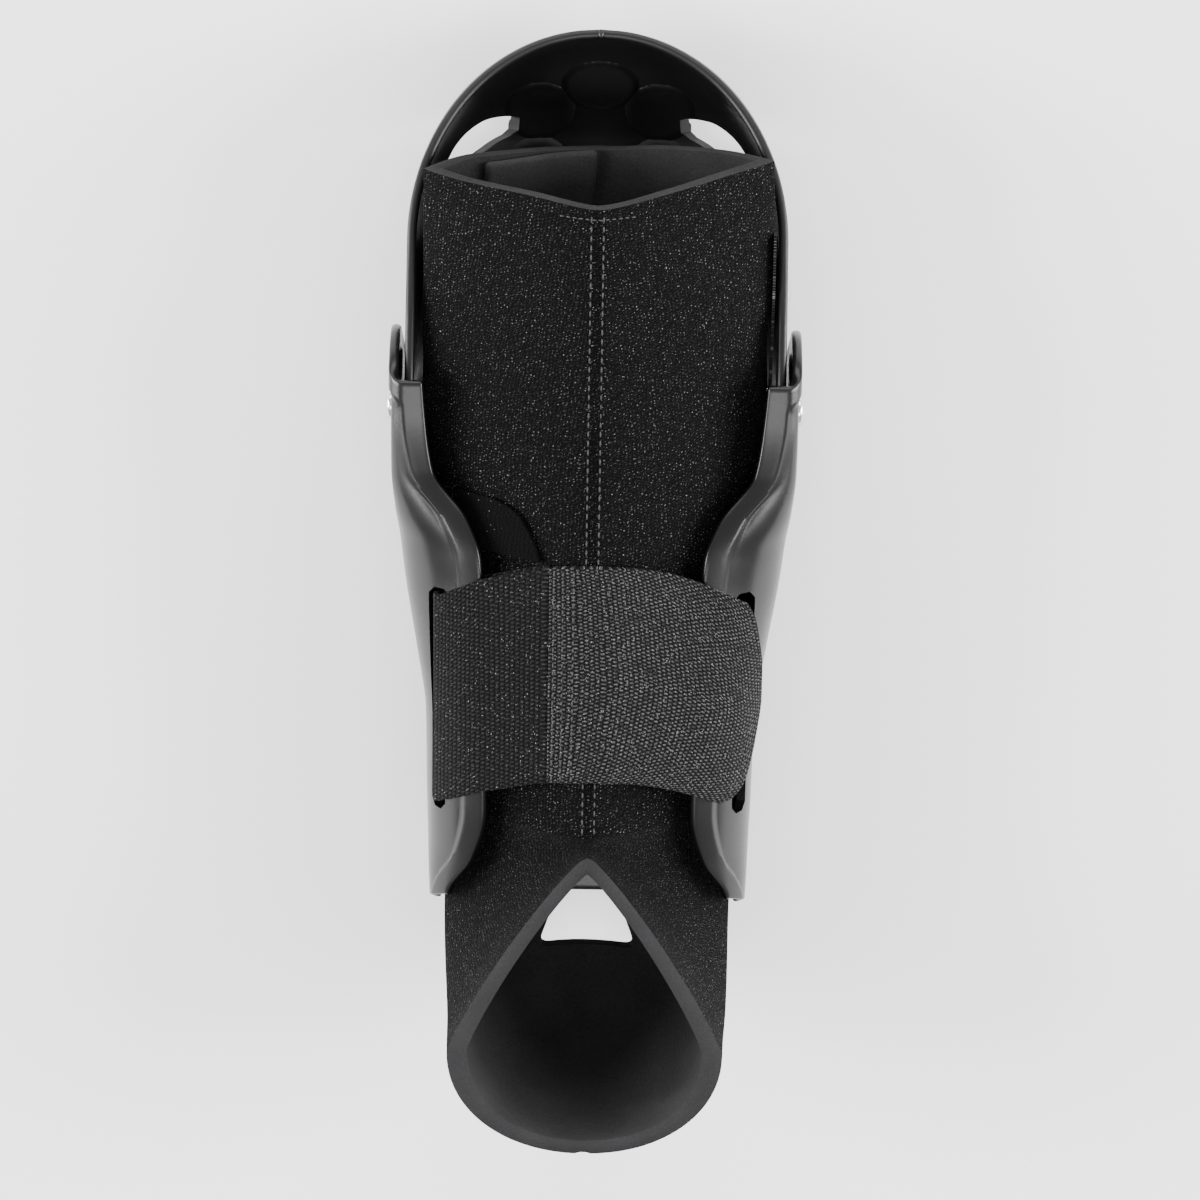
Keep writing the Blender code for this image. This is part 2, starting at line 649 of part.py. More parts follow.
def build_hook_strip(material, collection, axis):
    """Narrow rough strip down the sleeve's right edge, above the rivet."""
    start = RIVET_HEAD_RADIUS + HOOK_STRIP_WALL
    rows = []
    for y in np.linspace(start, start + HOOK_STRIP_LENGTH, 7):
        leg = leg_sizes(float(y))
        edge = leg["width"] + SEAT_GAP
        rows.append([(edge, y, leg["widest"] + side * HOOK_STRIP_WIDTH / 2) for side in (-1, 0, 1)])
    obj = make_object("hook_strip", lofted(rows), material, collection, axis)
    add_wall(obj, HOOK_STRIP_WALL, outwards=True)
    return obj


def strap_y(x, offset):
    """Where along the leg the strap runs, x from the middle and offset from its middle line."""
    share = min(abs(x) / SLOT_SPREAD, 1.0)
    return -STRAP_REACH - STRAP_DROP * share**2 + offset


def strap_line(y, lift):
    """The strap's course over the seam and down a wing, at one height: (x, z) points from the
    middle outwards, a lift above the shell and above the seam."""
    wing = offset_line(lower_section(y), lift)[::-1]
    wing = wing[wing[:, 1] > STRAP_END_HEIGHT]
    ridge = leg_sizes(y)["front"] + lift
    shoulder = (SHOULDER_SPREAD * wing[0, 0], ridge - SHOULDER_FALL * (ridge - wing[0, 1]))
    return np.concatenate([[(0.0, ridge), shoulder], wing])


def strap_point(x, offset, lift):
    """A point of the strap between its slots."""
    y = strap_y(x, offset)
    line = strap_line(y, lift)
    front_part = line[line[:, 0] <= SLOT_SPREAD * 1.05]
    rising = np.maximum.accumulate(front_part[:, 0])
    return (x, y, float(np.interp(abs(x), rising, front_part[:, 1])))


def strap_tail(offset, lift):
    """The strap's course beyond the right slot, as (x, y, z) points."""
    y = strap_y(SLOT_SPREAD, offset)
    line = strap_line(y, lift)
    tail = line[line[:, 0] > SLOT_SPREAD]
    return np.stack([tail[:, 0], np.full(len(tail), y), tail[:, 1]], 1)


def build_strap(material, collection, axis):
    """Ribbed strap from the stitched join, over the seam and round the right wing."""
    lift = SEAT_GAP + STRAP_WALL / 2
    join = SLOT_SPREAD - LOOP_LENGTH
    rows = []
    for across in np.linspace(-1, 1, 9):
        offset = across * STRAP_WIDTH / 2
        row = [strap_point(x, offset, lift) for x in np.linspace(-join, SLOT_SPREAD, 13)]
        tail = strap_tail(offset, lift)
        length = float(np.linalg.norm(np.diff(tail, axis=0), axis=1).sum())
        bend = 1 - math.sqrt(1 - (STRAP_END_FULLNESS * across) ** 2)
        end = 1 - STRAP_END_ROUND * bend / length
        row += [tuple(point) for point in along(tail, end * np.linspace(0, 1, 6)[1:])]
        rows.append(row)
    obj = make_object("strap", lofted(rows), material, collection, axis)
    add_wall(obj, STRAP_WALL)
    obj.modifiers["wall"].offset = 0.0
    return obj


def loop_course(offset):
    """Middle line of the elastic round the wing's front bar, as one closed ring of points."""
    lift = SEAT_GAP + LOOP_WALL / 2
    join = SLOT_SPREAD - LOOP_LENGTH + SEAT_GAP + LOOP_WALL / 2
    turn_start = SLOT_SPREAD - LOOP_TURN * SLOT_WIDTH
    over, under = [], []
    for share in np.linspace(1, 0, 7):
        y = strap_y(SLOT_SPREAD, offset)
        for _ in range(3):
            section = lower_section(y)
            edge = section[-1, 0]
            base = turn_start + (edge - turn_start) * (1 - share)
            y = strap_y(base, offset)
        front_part = section[:, 1] > 0
        at = section[front_part][::-1, 0]
        for points, distance in ((over, lift), (under, -(SHELL_WALL + lift))):
            moved = offset_line(section, distance)[front_part][::-1]
            x, z = (float(np.interp(base, at, moved[:, k])) for k in (0, 1))
            points.append((x, y, z))
    top = strap_point(join, offset, lift)
    low = (join, top[1], top[2] - LOOP_WALL - 2 * SEAT_GAP)
    for points, last in ((over, top), (under, low)):
        start = np.array(points[-1])
        for share in np.linspace(0, 1, 5)[1:]:
            points.append(tuple(start + share * (np.array(last) - start)))
    first, last = np.array(under[0]), np.array(over[0])
    centre, half = (first + last) / 2, (last - first) / 2
    away = np.array([half[2], 0.0, -half[0]])
    away *= -1 if away[2] > 0 else 1
    swing = np.radians([35, 70, 110, 145])
    turn = [tuple(centre - half * math.cos(a) + away * math.sin(a)) for a in swing]
    return over[::-1] + turn[::-1] + under


def build_strap_loop(material, collection, axis):
    """Woven elastic folded through the left slot and back to the stitched join."""
    outer, inner = [], []
    for across in np.linspace(-1, 1, 7):
        course = np.array(loop_course(across * STRAP_WIDTH / 2))
        run = np.roll(course, -1, axis=0) - np.roll(course, 1, axis=0)
        side = np.stack([run[:, 2], np.zeros(len(run)), -run[:, 0]], 1)
        side /= np.linalg.norm(side, axis=1, keepdims=True)
        middle = course.mean(axis=0)
        way = np.sign(((course - middle) * side).sum())
        for rows, step in ((outer, 1), (inner, -1)):
            moved = course + way * step * side * LOOP_WALL / 2
            rows.append([(-x, y, z) for x, y, z in moved])
    return make_object("strap_loop", ring_body(outer, inner), material, collection, axis)


def rivet_profile():
    """Half section of a rivet, from the head's crown down to the inner flange: (radius, x)."""
    seat = EAR_HALF_WIDTH + SEAT_GAP
    flange_out = ARM_HALF_WIDTH - SHELL_WALL - SEAT_GAP
    flange_in = flange_out - RIVET_FLANGE_WALL
    head = RIVET_HEAD_HEIGHT - SEAT_GAP
    crown = [(across * RIVET_HEAD_RADIUS, seat + up * head) for across, up in RIVET_CROWN]
    return crown + [
        (RIVET_HEAD_RADIUS, seat),
        (RIVET_SHANK_RADIUS, seat),
        (RIVET_SHANK_RADIUS, flange_out),
        (RIVET_FLANGE_RADIUS, flange_out),
        (RIVET_FLANGE_RADIUS, flange_in),
        (0.0, flange_in),
    ]


def build_rivet(name, side, material, collection, axis):
    """Domed rivet through an ear and an arm."""
    bm = bmesh.new()
    verts = [bm.verts.new((radius, 0, height)) for radius, height in rivet_profile()]
    for first, second in zip(verts, verts[1:]):
        bm.edges.new((first, second))
    obj = make_object(name, bm, material, collection, axis)
    screw = obj.modifiers.new("turn", "SCREW")
    screw.steps = 24
    screw.render_steps = 24
    screw.use_merge_vertices = True
    screw.merge_threshold = 0.00001
    obj.rotation_euler = (0, side * math.pi / 2, 0)
    return obj


def make_material(name):
    """Plain finish from the table."""
    colour, roughness, metallic = MATERIALS[name]
    material = bpy.data.materials.new(name)
    material.use_nodes = True
    shader = material.node_tree.nodes["Principled BSDF"]
    shader.inputs["Base Color"].default_value = colour
    shader.inputs["Roughness"].default_value = roughness
    shader.inputs["Metallic"].default_value = metallic
    return material


def main():
    clear_scene()
    collection = bpy.data.collections.new("ankle_support")
    cutters = bpy.data.collections.new("cutters")
    bpy.context.scene.collection.children.link(collection)
    bpy.context.scene.collection.children.link(cutters)
    axis = bpy.data.objects.new("rivet_axis", None)
    axis.location = (0, PIVOT_Y, PIVOT_HEIGHT)
    collection.objects.link(axis)
    finish = {name: make_material(name) for name in MATERIALS}
    build_lower_shell(finish["moulded_black"], collection, cutters, axis)
    build_calf_cup(finish["moulded_black"], collection, cutters, axis)
    build_sleeve(finish["knit_neoprene"], collection, cutters, axis)
    build_strap(finish["ribbed_strap"], collection, axis)
    build_strap_loop(finish["woven_elastic"], collection, axis)
    build_side_patch(finish["woven_elastic"], collection, axis)
    build_hook_strip(finish["hook_tape"], collection, axis)
    for name, side in (("rivet_left", -1), ("rivet_right", 1)):
        build_rivet(name, side, finish["polished_rivet"], collection, axis)


main()
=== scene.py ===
"""Looks of the hinged ankle support: shells, rivets, knit sleeve, strap, studio.

Shape functions measure from the rivet axis, as the solids do: x across the leg, y up the leg and z out
of its front. Each finished mesh is then set in its place once.
"""

from __future__ import annotations

import logging
import math
from dataclasses import dataclass
from enum import Enum
from typing import Callable, Sequence

import bmesh
import bpy
import numpy as np
from mathutils import Matrix, Vector

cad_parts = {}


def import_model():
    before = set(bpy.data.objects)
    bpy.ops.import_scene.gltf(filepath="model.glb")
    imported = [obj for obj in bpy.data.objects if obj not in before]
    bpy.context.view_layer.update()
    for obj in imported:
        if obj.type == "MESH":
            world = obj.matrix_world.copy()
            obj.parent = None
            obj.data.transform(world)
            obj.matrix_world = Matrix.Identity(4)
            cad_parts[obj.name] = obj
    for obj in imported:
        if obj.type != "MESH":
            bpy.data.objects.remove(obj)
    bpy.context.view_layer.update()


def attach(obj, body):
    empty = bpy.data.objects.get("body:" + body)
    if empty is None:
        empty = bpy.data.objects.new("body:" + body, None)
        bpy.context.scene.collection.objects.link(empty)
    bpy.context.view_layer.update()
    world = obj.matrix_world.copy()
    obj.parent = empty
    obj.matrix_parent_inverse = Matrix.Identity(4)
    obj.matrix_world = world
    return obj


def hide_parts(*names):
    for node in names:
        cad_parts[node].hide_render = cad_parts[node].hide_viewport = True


LOG = logging.getLogger("ankle_support")
Array = np.ndarray
Table = dict[str, tuple[float, ...]]


class Body(Enum):
    """The rigid bodies that pieces ride on."""

    GUARD = "guard"
    CUP = "cup"


class Side(Enum):
    """Which side of the leg a piece is on."""

    LEFT = -1
    RIGHT = 1


@dataclass(frozen=True)
class Sizes:
    """Driving sizes of the guard, in metres."""

    pivot_y: float = 0.0500
    pivot_height: float = 0.0500
    cup_reach: float = 0.0987
    cup_centre: float = 0.0450
    heel_reach: float = 0.1528
    tip_reach: float = 0.1336
    ear_half_width: float = 0.0544
    ear_radius: float = 0.0200
    arm_radius: float = 0.0125
    wing_front: float = 0.0290
    shell_wall: float = 0.0026
    back_flat: float = 0.0170
    back_gap: float = 0.0080
    run_clearance: float = 0.0008
    seat_gap: float = 0.0003
    sleeve_top: float = 0.0655
    sleeve_half_width: float = 0.0466
    sleeve_front: float = 0.0380
    sleeve_wall: float = 0.0038
    instep_reach: float = 0.1100
    instep_radius: float = 0.0035
    foot_depth: float = 0.0852
    strap_width: float = 0.0600
    strap_reach: float = 0.0640
    strap_drop: float = 0.0135
    strap_wall: float = 0.0024
    loop_wall: float = 0.0016
    loop_length: float = 0.0300
    slot_length: float = 0.0640
    slot_width: float = 0.0080
    slot_spread: float = 0.0410

    @property
    def arm_half_width(self) -> float:
        """Middle of the leg to the outside of a cup arm."""
        return self.ear_half_width - self.shell_wall - self.run_clearance

    @property
    def place(self) -> Vector:
        """Where the middle of the rivet axis lies."""
        return Vector((0.0, self.pivot_y, self.pivot_height))


SIZES = Sizes()

LOWER: Table = {
    "down": (-0.140, 0.0, 0.092, 0.170, 0.235, 0.300, 0.440, 0.560, 0.700, 0.790, 0.860, 1.0),
    "width": (1.0, 1.0, 0.998, 0.980, 0.957, 0.936, 0.872, 0.824, 0.816, 0.808, 0.802, 0.780),
    "front": (0.59, 0.60, 0.64, 0.79, 0.93, 0.97, 1.0, 1.0, 0.97, 0.90, 0.76, 0.50),
    "turn": (0.0, 0.0, 0.15, 0.55, 0.92, 1.0, 1.0, 1.0, 1.0, 1.0, 0.90, 0.70),
    "edge": (0.87, 0.84, 0.80, 0.63, 0.56, 0.545, 0.535, 0.525, 0.525, 0.580, 0.690, 0.780),
    "side": (0.22, 0.22, 0.20, 0.15, 0.10, 0.06, 0.04, 0.04, 0.04, 0.04, 0.04, 0.04),
}
LEG: Table = {
    "up": (1.0, 0.62, 0.23, 0.0, -0.27, -0.54, -0.80, -1.0),
    "width": (1.0, 1.0, 0.995, 0.990, 0.975, 0.940, 0.895, 0.868),
    "front": (1.0, 1.01, 1.01, 1.005, 1.0, 0.985, 0.985, 1.0),
    "back": (0.58, 0.70, 0.81, 0.86, 0.92, 0.95, 0.97, 0.98),
    "widest": (0.10, 0.06, 0.02, 0.0, 0.0, 0.0, 0.0, 0.0),
    "ridge": (1.12, 1.20, 1.28, 1.28, 1.26, 1.24, 1.24, 1.28),
    "round": (1.15, 1.35, 1.60, 1.80, 2.0, 2.0, 2.0, 2.0),
}
FOOT: Table = {
    "turn": (0.0, 18.0, 36.0, 56.0, 74.0, 90.0),
    "width": (0.868, 0.850, 0.838, 0.826, 0.812, 0.800),
    "depth": (0.883, 0.965, 1.015, 1.030, 1.020, 1.0),
    "widest": (0.505, 0.520, 0.550, 0.590, 0.630, 0.660),
    "ridge": (1.28, 1.24, 1.20, 1.17, 1.15, 1.15),
    "round": (2.0, 2.0, 2.0, 2.05, 2.10, 2.10),
}
CUP: Table = {
    "up": (-0.15, 0.06, 0.24, 0.43, 0.64, 0.74, 0.86, 0.95, 1.0),
    "back": (1.0, 1.0, 1.0, 1.0, 1.0, 0.95, 0.79, 0.60, 0.44),
    "edge": (-0.25, -0.24, -0.14, 0.01, 0.15, 0.23, 0.33, 0.40, 0.44),
    "side": (0.12, 0.12, 0.08, 0.07, 0.18, 0.25, 0.34, 0.40, 0.44),
}
WINDOW: Table = {
    "up": (0.690, 0.668, 0.632, 0.580, 0.480, 0.365),
    "across": (0.575, 0.680, 0.760, 0.810, 0.845, 0.845),
}


def smooth_read(places: Sequence[float], values: Sequence[float], at: Array | float) -> Array:
    """Read a table along a smooth line that never overshoots its rows.

    Args:
        places: where each row stands.
        values: what each row holds.
        at: where to read.

    Returns:
        The values there.
    """
    xs, ys = np.asarray(places, float), np.asarray(values, float)
    if xs[0] > xs[-1]:
        xs, ys = xs[::-1], ys[::-1]
    at = np.clip(np.asarray(at, float), xs[0], xs[-1])
    step = np.diff(xs)
    slope = np.diff(ys) / step
    tangent = np.zeros(len(xs))
    tangent[0], tangent[-1] = slope[0], slope[-1]
    same_way = slope[:-1] * slope[1:] > 0
    before, after = 2 * step[1:] + step[:-1], step[1:] + 2 * step[:-1]
    safe = np.where(slope == 0, 1.0, slope)
    mean = (before + after) / (before / safe[:-1] + after / safe[1:] + 1e-30)
    tangent[1:-1] = np.where(same_way, mean, 0.0)
    cell = np.clip(np.searchsorted(xs, at, side="right") - 1, 0, len(step) - 1)
    t = (at - xs[cell]) / step[cell]
    return (
        ys[cell] * (1 + 2 * t) * (1 - t) ** 2
        + tangent[cell] * step[cell] * t * (1 - t) ** 2
        + ys[cell + 1] * t * t * (3 - 2 * t)
        - tangent[cell + 1] * step[cell] * t * t * (1 - t)
    )


def ease(start: float, end: float, at: Array) -> Array:
    """Rise smoothly from 0 at start to 1 at end."""
    t = np.clip((at - start) / (end - start), 0.0, 1.0)
    return t * t * (3 - 2 * t)


def line_length(line: Array) -> Array:
    """Length along a polyline at each of its points."""
    return np.concatenate(([0.0], np.cumsum(np.linalg.norm(np.diff(line, axis=0), axis=1))))


def along(line: Array, shares: Array) -> Array:
    """Points at the given shares of a polyline's length."""
    length = line_length(line)
    wanted = np.asarray(shares, float) * length[-1]
    return np.stack([np.interp(wanted, length, line[:, k]) for k in range(line.shape[1])], 1)


def surface_normals(points: Array) -> Array:
    """Unit normals of a grid of points, pointing away from the leg.

    Args:
        points: (rows, columns, 3) array.

    Returns:
        An array of the same shape.
    """
    normal = np.cross(np.gradient(points, axis=1), np.gradient(points, axis=0))
    normal /= np.linalg.norm(normal, axis=2, keepdims=True) + 1e-12
    away = normal[..., 0] * points[..., 0] + normal[..., 2] * points[..., 2]
    return normal if away.mean() > 0 else -normal


class SectionField:
    """Sections read at many heights, for placing thousands of points at once."""

    def __init__(self, low: float, high: float, section: Callable[[float], Array]) -> None:
        """Read the sections.

        Args:
            low: lowest height.
            high: greatest height.
            section: gives the (x, z) points of half a section at a height.
        """
        self.low, self.high = low, high
        self.heights = np.linspace(low, high, 360)
        shares = np.linspace(0, 1, 300)
        lines = [section(float(y)) for y in self.heights]
        self.grid = np.stack([along(line, shares) for line in lines])
        self.lengths = np.array([line_length(line)[-1] for line in lines])

    def at(self, y: Array, share: Array) -> tuple[Array, Array]:
        """Read the x and z at heights and shares of the section's length."""
        rows, columns = self.grid.shape[:2]
        i = np.clip((y - self.low) / (self.high - self.low) * (rows - 1), 0, rows - 1.0001)
        j = np.clip(share * (columns - 1), 0, columns - 1.0001)
        i0, j0 = i.astype(int), j.astype(int)
        fi, fj = (i - i0)[..., None], (j - j0)[..., None]
        upper = self.grid[i0 + 1, j0] * (1 - fj) + self.grid[i0 + 1, j0 + 1] * fj
        lower = self.grid[i0, j0] * (1 - fj) + self.grid[i0, j0 + 1] * fj
        point = lower * (1 - fi) + upper * fi
        return point[..., 0], point[..., 1]

    def length(self, y: Array) -> Array:
        """Read the section's length at heights."""
        return np.interp(y, self.heights, self.lengths)


class Grid:
    """A surface of quads whose points are moved into place from a flat grid."""

    def __init__(self, points: Array, uvs: Array, closed: bool = False, ring: bool = False) -> None:
        """Build the surface.

        Args:
            points: (rows, columns, 3) array.
            uvs: (rows, columns, 2) array, in units of 100 mm.
            closed: whether the last column meets the first.
            ring: whether the last row meets the first.
        """
        rows, columns = points.shape[:2]
        self.bm = bmesh.new()
        weave = self.bm.loops.layers.uv.new("weave")
        bmesh.ops.create_grid(self.bm, x_segments=columns - 1, y_segments=rows - 1, size=0.5)
        low = np.array([v.co[:2] for v in self.bm.verts])
        span = low.max(axis=0) - low.min(axis=0)
        share = (low - low.min(axis=0)) / span
        j = np.rint(share[:, 0] * (columns - 1)).astype(int)
        i = np.rint(share[:, 1] * (rows - 1)).astype(int)
        self.row_of = {}
        for index, vert in enumerate(self.bm.verts):
            vert.co = points[i[index], j[index]]
        vert_uv = uvs[i, j]
        self.bm.verts.index_update()
        self.face_rows: list[int] = []
        for face in self.bm.faces:
            for loop in face.loops:
                loop[weave].uv = vert_uv[loop.vert.index]
            self.face_rows.append(min(int(i[v.index]) for v in face.verts))
        for face, row in zip(self.bm.faces, self.face_rows):
            face.material_index = 0
        self.rows = rows
        if closed or ring:
            bmesh.ops.remove_doubles(self.bm, verts=self.bm.verts, dist=1e-6)

    def paint_rows(self, slot_of_row: Sequence[int]) -> None:
        """Give each row of faces its material slot, before anything else changes the mesh."""
        for face, row in zip(self.bm.faces, self.face_rows):
            face.material_index = slot_of_row[min(row, len(slot_of_row) - 1)]

    def face_away(self) -> None:
        """Turn an open surface so that it faces away from the leg."""
        self.bm.normal_update()
        facing = 0.0
        for face in self.bm.faces:
            middle = face.calc_center_median()
            facing += face.calc_area() * face.normal.dot(Vector((middle.x, 0, middle.z)))
        if facing < 0:
            bmesh.ops.reverse_faces(self.bm, faces=self.bm.faces)


def thick_rows(points: Array, wall: float, bulge: float, steps: int = 7) -> Array:
    """Rows of closed rings that give an open surface its wall and rounded edges all round.

    Args:
        points: (rows, columns, 3) outer surface.
        wall: thickness, measured inwards.
        bulge: how far the rounded edge stands out.
        steps: faces round an edge.

    Returns:
        (rows, ring, 3) points, each ring ending where it starts.
    """
    normal = surface_normals(points)
    middle = points - wall / 2 * normal
    swing = np.linspace(0, math.pi, steps + 1)[1:-1]
    arcs, centres = [], []
    for edge, beside in ((-1, -2), (0, 1)):
        away = np.cross(np.gradient(points[:, edge], axis=0), normal[:, edge])
        away /= np.linalg.norm(away, axis=1, keepdims=True) + 1e-12
        way = ((points[:, edge] - points[:, beside]) * away).sum(axis=1, keepdims=True)
        away *= np.where(way < 0, -1.0, 1.0)
        arc = [
            middle[:, edge] + wall / 2 * math.cos(a) * normal[:, edge] + bulge * math.sin(a) * away
            for a in swing
        ]
        arcs.append(np.stack(arc if edge else arc[::-1], 1))
        centres.append(np.repeat(middle[:, edge][:, None], len(swing), axis=1))
    inner = points - wall * normal
    rings = np.concatenate([points, arcs[0], inner[:, ::-1], arcs[1], points[:, :1]], axis=1)
    cores = np.concatenate([middle, centres[0], middle[:, ::-1], centres[1], middle[:, :1]], axis=1)
    caps = []
    for end, beside in ((0, 1), (-1, -2)):
        away = cores[end] - cores[beside]
        away /= np.linalg.norm(away, axis=1, keepdims=True) + 1e-12
        caps.append([
            cores[end] + (rings[end] - cores[end]) * math.cos(a) + bulge * math.sin(a) * away
            for a in np.linspace(0, math.pi / 2, steps // 2 + 2)[1:]
        ])
    return np.concatenate([np.stack(caps[0][::-1]), rings, np.stack(caps[1])])


def make_piece(name: str, bm: bmesh.types.BMesh, materials: Sequence[bpy.types.Material]) -> bpy.types.Object:
    """Turn built geometry, measured from the rivet axis, into an object in its place.

    Args:
        name: the object's name.
        bm: the geometry, freed here.
        materials: its material slots in order.

    Returns:
        The object, at the origin.
    """
    bmesh.ops.translate(bm, verts=bm.verts, vec=SIZES.place)
    mesh = bpy.data.meshes.new(name)
    bm.to_mesh(mesh)
    bm.free()
    mesh.shade_smooth()
    for material in materials:
        mesh.materials.append(material)
    obj = bpy.data.objects.new(name, mesh)
    bpy.context.scene.collection.objects.link(obj)
    return obj


def settle(obj: bpy.types.Object, sharp: float = 40.0) -> None:
    """Apply an object's modifiers and mark its sharp edges."""
    depsgraph = bpy.context.evaluated_depsgraph_get()
    finished = bpy.data.meshes.new_from_object(obj.evaluated_get(depsgraph), depsgraph=depsgraph)
    old = obj.data
    obj.modifiers.clear()
    obj.data = finished
    finished.name = old.name
    bpy.data.meshes.remove(old)
    finished.shade_smooth()
    finished.set_sharp_from_angle(angle=math.radians(sharp))


def add_wall(obj: bpy.types.Object, thickness: float, offset: float, rim_slot: int = 0, inner_slot: int = 0) -> None:
    """Give a surface a wall.

    Args:
        obj: the object.
        thickness: the wall.
        offset: -1 inwards, 0 both ways, 1 outwards.
        rim_slot: material steps from the face to the rim.
        inner_slot: material steps from the face to the inner side.
    """
    solid = obj.modifiers.new("wall", "SOLIDIFY")
    solid.thickness = thickness
    solid.offset = offset
    solid.use_even_offset = True
    solid.material_offset_rim = rim_slot
    solid.material_offset = inner_slot


def round_edges(obj: bpy.types.Object, width: float, segments: int = 3) -> None:
    """Round an object's sharp edges."""
    bevel = obj.modifiers.new("round", "BEVEL")
    bevel.width = width
    bevel.segments = segments
    bevel.limit_method = "ANGLE"
    bevel.angle_limit = math.radians(55)
    bevel.use_clamp_overlap = True
    bevel.harden_normals = False


def cut_with(obj: bpy.types.Object, cutters: Sequence[bmesh.types.BMesh], solver: str = "MANIFOLD") -> None:
    """Cut closed shapes out of an object and settle it.

    Args:
        obj: the object.
        cutters: closed shapes measured from the rivet axis, freed here.
        solver: how the cut is worked out.
    """
    helpers = []
    for number, bm in enumerate(cutters):
        bmesh.ops.recalc_face_normals(bm, faces=bm.faces)
        helper = make_piece(f"cut_{number}", bm, ())
        taken = obj.modifiers.new(helper.name, "BOOLEAN")
        taken.operation = "DIFFERENCE"
        taken.solver = solver
        taken.object = helper
        helpers.append(helper)
    settle(obj)
    for helper in helpers:
        mesh = helper.data
        bpy.data.objects.remove(helper)
        bpy.data.meshes.remove(mesh)


def prism(outline: Sequence[tuple[float, float]], near: float, far: float, turn: Matrix) -> bmesh.types.BMesh:
    """Extrude a flat outline into a closed prism.

    Args:
        outline: (x, y) points in order.
        near: height of the first face.
        far: height of the second.
        turn: where the prism is set.

    Returns:
        The prism.
    """
    bm = bmesh.new()
    face = bm.faces.new([bm.verts.new((x, y, near)) for x, y in outline])
    grown = bmesh.ops.extrude_face_region(bm, geom=[face])
    top = [v for v in grown["geom"] if isinstance(v, bmesh.types.BMVert)]
    bmesh.ops.translate(bm, verts=top, vec=(0, 0, far - near))
    bmesh.ops.transform(bm, matrix=turn, verts=bm.verts)
    return bm


def cross_cylinder(radius: float, half_length: float) -> bmesh.types.BMesh:
    """A cylinder across the leg, on the rivet axis."""
    bm = bmesh.new()
    bmesh.ops.create_cone(
        bm,
        cap_ends=True,
        segments=40,
        radius1=radius,
        radius2=radius,
        depth=2 * half_length,
        matrix=Matrix.Rotation(math.pi / 2, 4, "Y"),
    )
    return bm


def round_outline(corners: Sequence[tuple[float, float]], radius: float, steps: int = 6) -> list[tuple[float, float]]:
    """A closed outline with its corners rounded."""
    outline = []
    for i, corner_point in enumerate(corners):
        corner = np.array(corner_point, float)
        before = np.array(corners[i - 1], float) - corner
        after = np.array(corners[(i + 1) % len(corners)], float) - corner
        start = corner + before / np.linalg.norm(before) * radius
        end = corner + after / np.linalg.norm(after) * radius
        for t in np.linspace(0, 1, steps):
            bent = (1 - t) ** 2 * start + 2 * t * (1 - t) * corner + t**2 * end
            outline.append((float(bent[0]), float(bent[1])))
    return outline


class NodeBench:
    """A small helper that adds and links shader nodes."""

    def __init__(self, tree: bpy.types.NodeTree) -> None:
        """Work on a node tree."""
        self.tree = tree

    def add(self, kind: str, **values: object) -> bpy.types.Node:
        """Add a node and set its properties."""
        node = self.tree.nodes.new(kind)
        for name, value in values.items():
            setattr(node, name, value)
        return node

    def link(self, out: bpy.types.NodeSocket, into: bpy.types.NodeSocket) -> None:
        """Link two sockets."""
        self.tree.links.new(out, into)

    def math(self, operation: str, first: object, second: object = 0.0, third: object = 0.0) -> bpy.types.NodeSocket:
        """Add a maths node and return what it puts out.

        Args:
            operation: the node's operation.
            first: a socket or a number.
            second: a socket or a number.
            third: a socket or a number.

        Returns:
            The output socket.
        """
        node = self.add("ShaderNodeMath", operation=operation)
        for place, value in enumerate((first, second, third)):
            if isinstance(value, bpy.types.NodeSocket):
                self.link(value, node.inputs[place])
            else:
                node.inputs[place].default_value = value
        return node.outputs[0]

    def noise(self, vector: bpy.types.NodeSocket, scale: float, detail: float = 2.0) -> bpy.types.NodeSocket:
        """Add a noise texture and return its value."""
        node = self.add("ShaderNodeTexNoise")
        node.inputs["Scale"].default_value = scale
        node.inputs["Detail"].default_value = detail
        self.link(vector, node.inputs["Vector"])
        return node.outputs["Fac"]


def new_group(name: str, inputs: dict[str, tuple[str, float]], outputs: dict[str, str]) -> tuple[NodeBench, bpy.types.Node, bpy.types.Node]:
    """Start a shader node group.

    Args:
        name: the group's name.
        inputs: socket kind and default for each input.
        outputs: socket kind for each output.

    Returns:
        The bench, the input node and the output node.
    """
    tree = bpy.data.node_groups.new(name, "ShaderNodeTree")
    for label, (kind, default) in inputs.items():
        socket = tree.interface.new_socket(name=label, in_out="INPUT", socket_type=kind)
        if kind == "NodeSocketFloat":
            socket.default_value = default
    for label, kind in outputs.items():
        tree.interface.new_socket(name=label, in_out="OUTPUT", socket_type=kind)
    bench = NodeBench(tree)
    return bench, bench.add("NodeGroupInput"), bench.add("NodeGroupOutput")


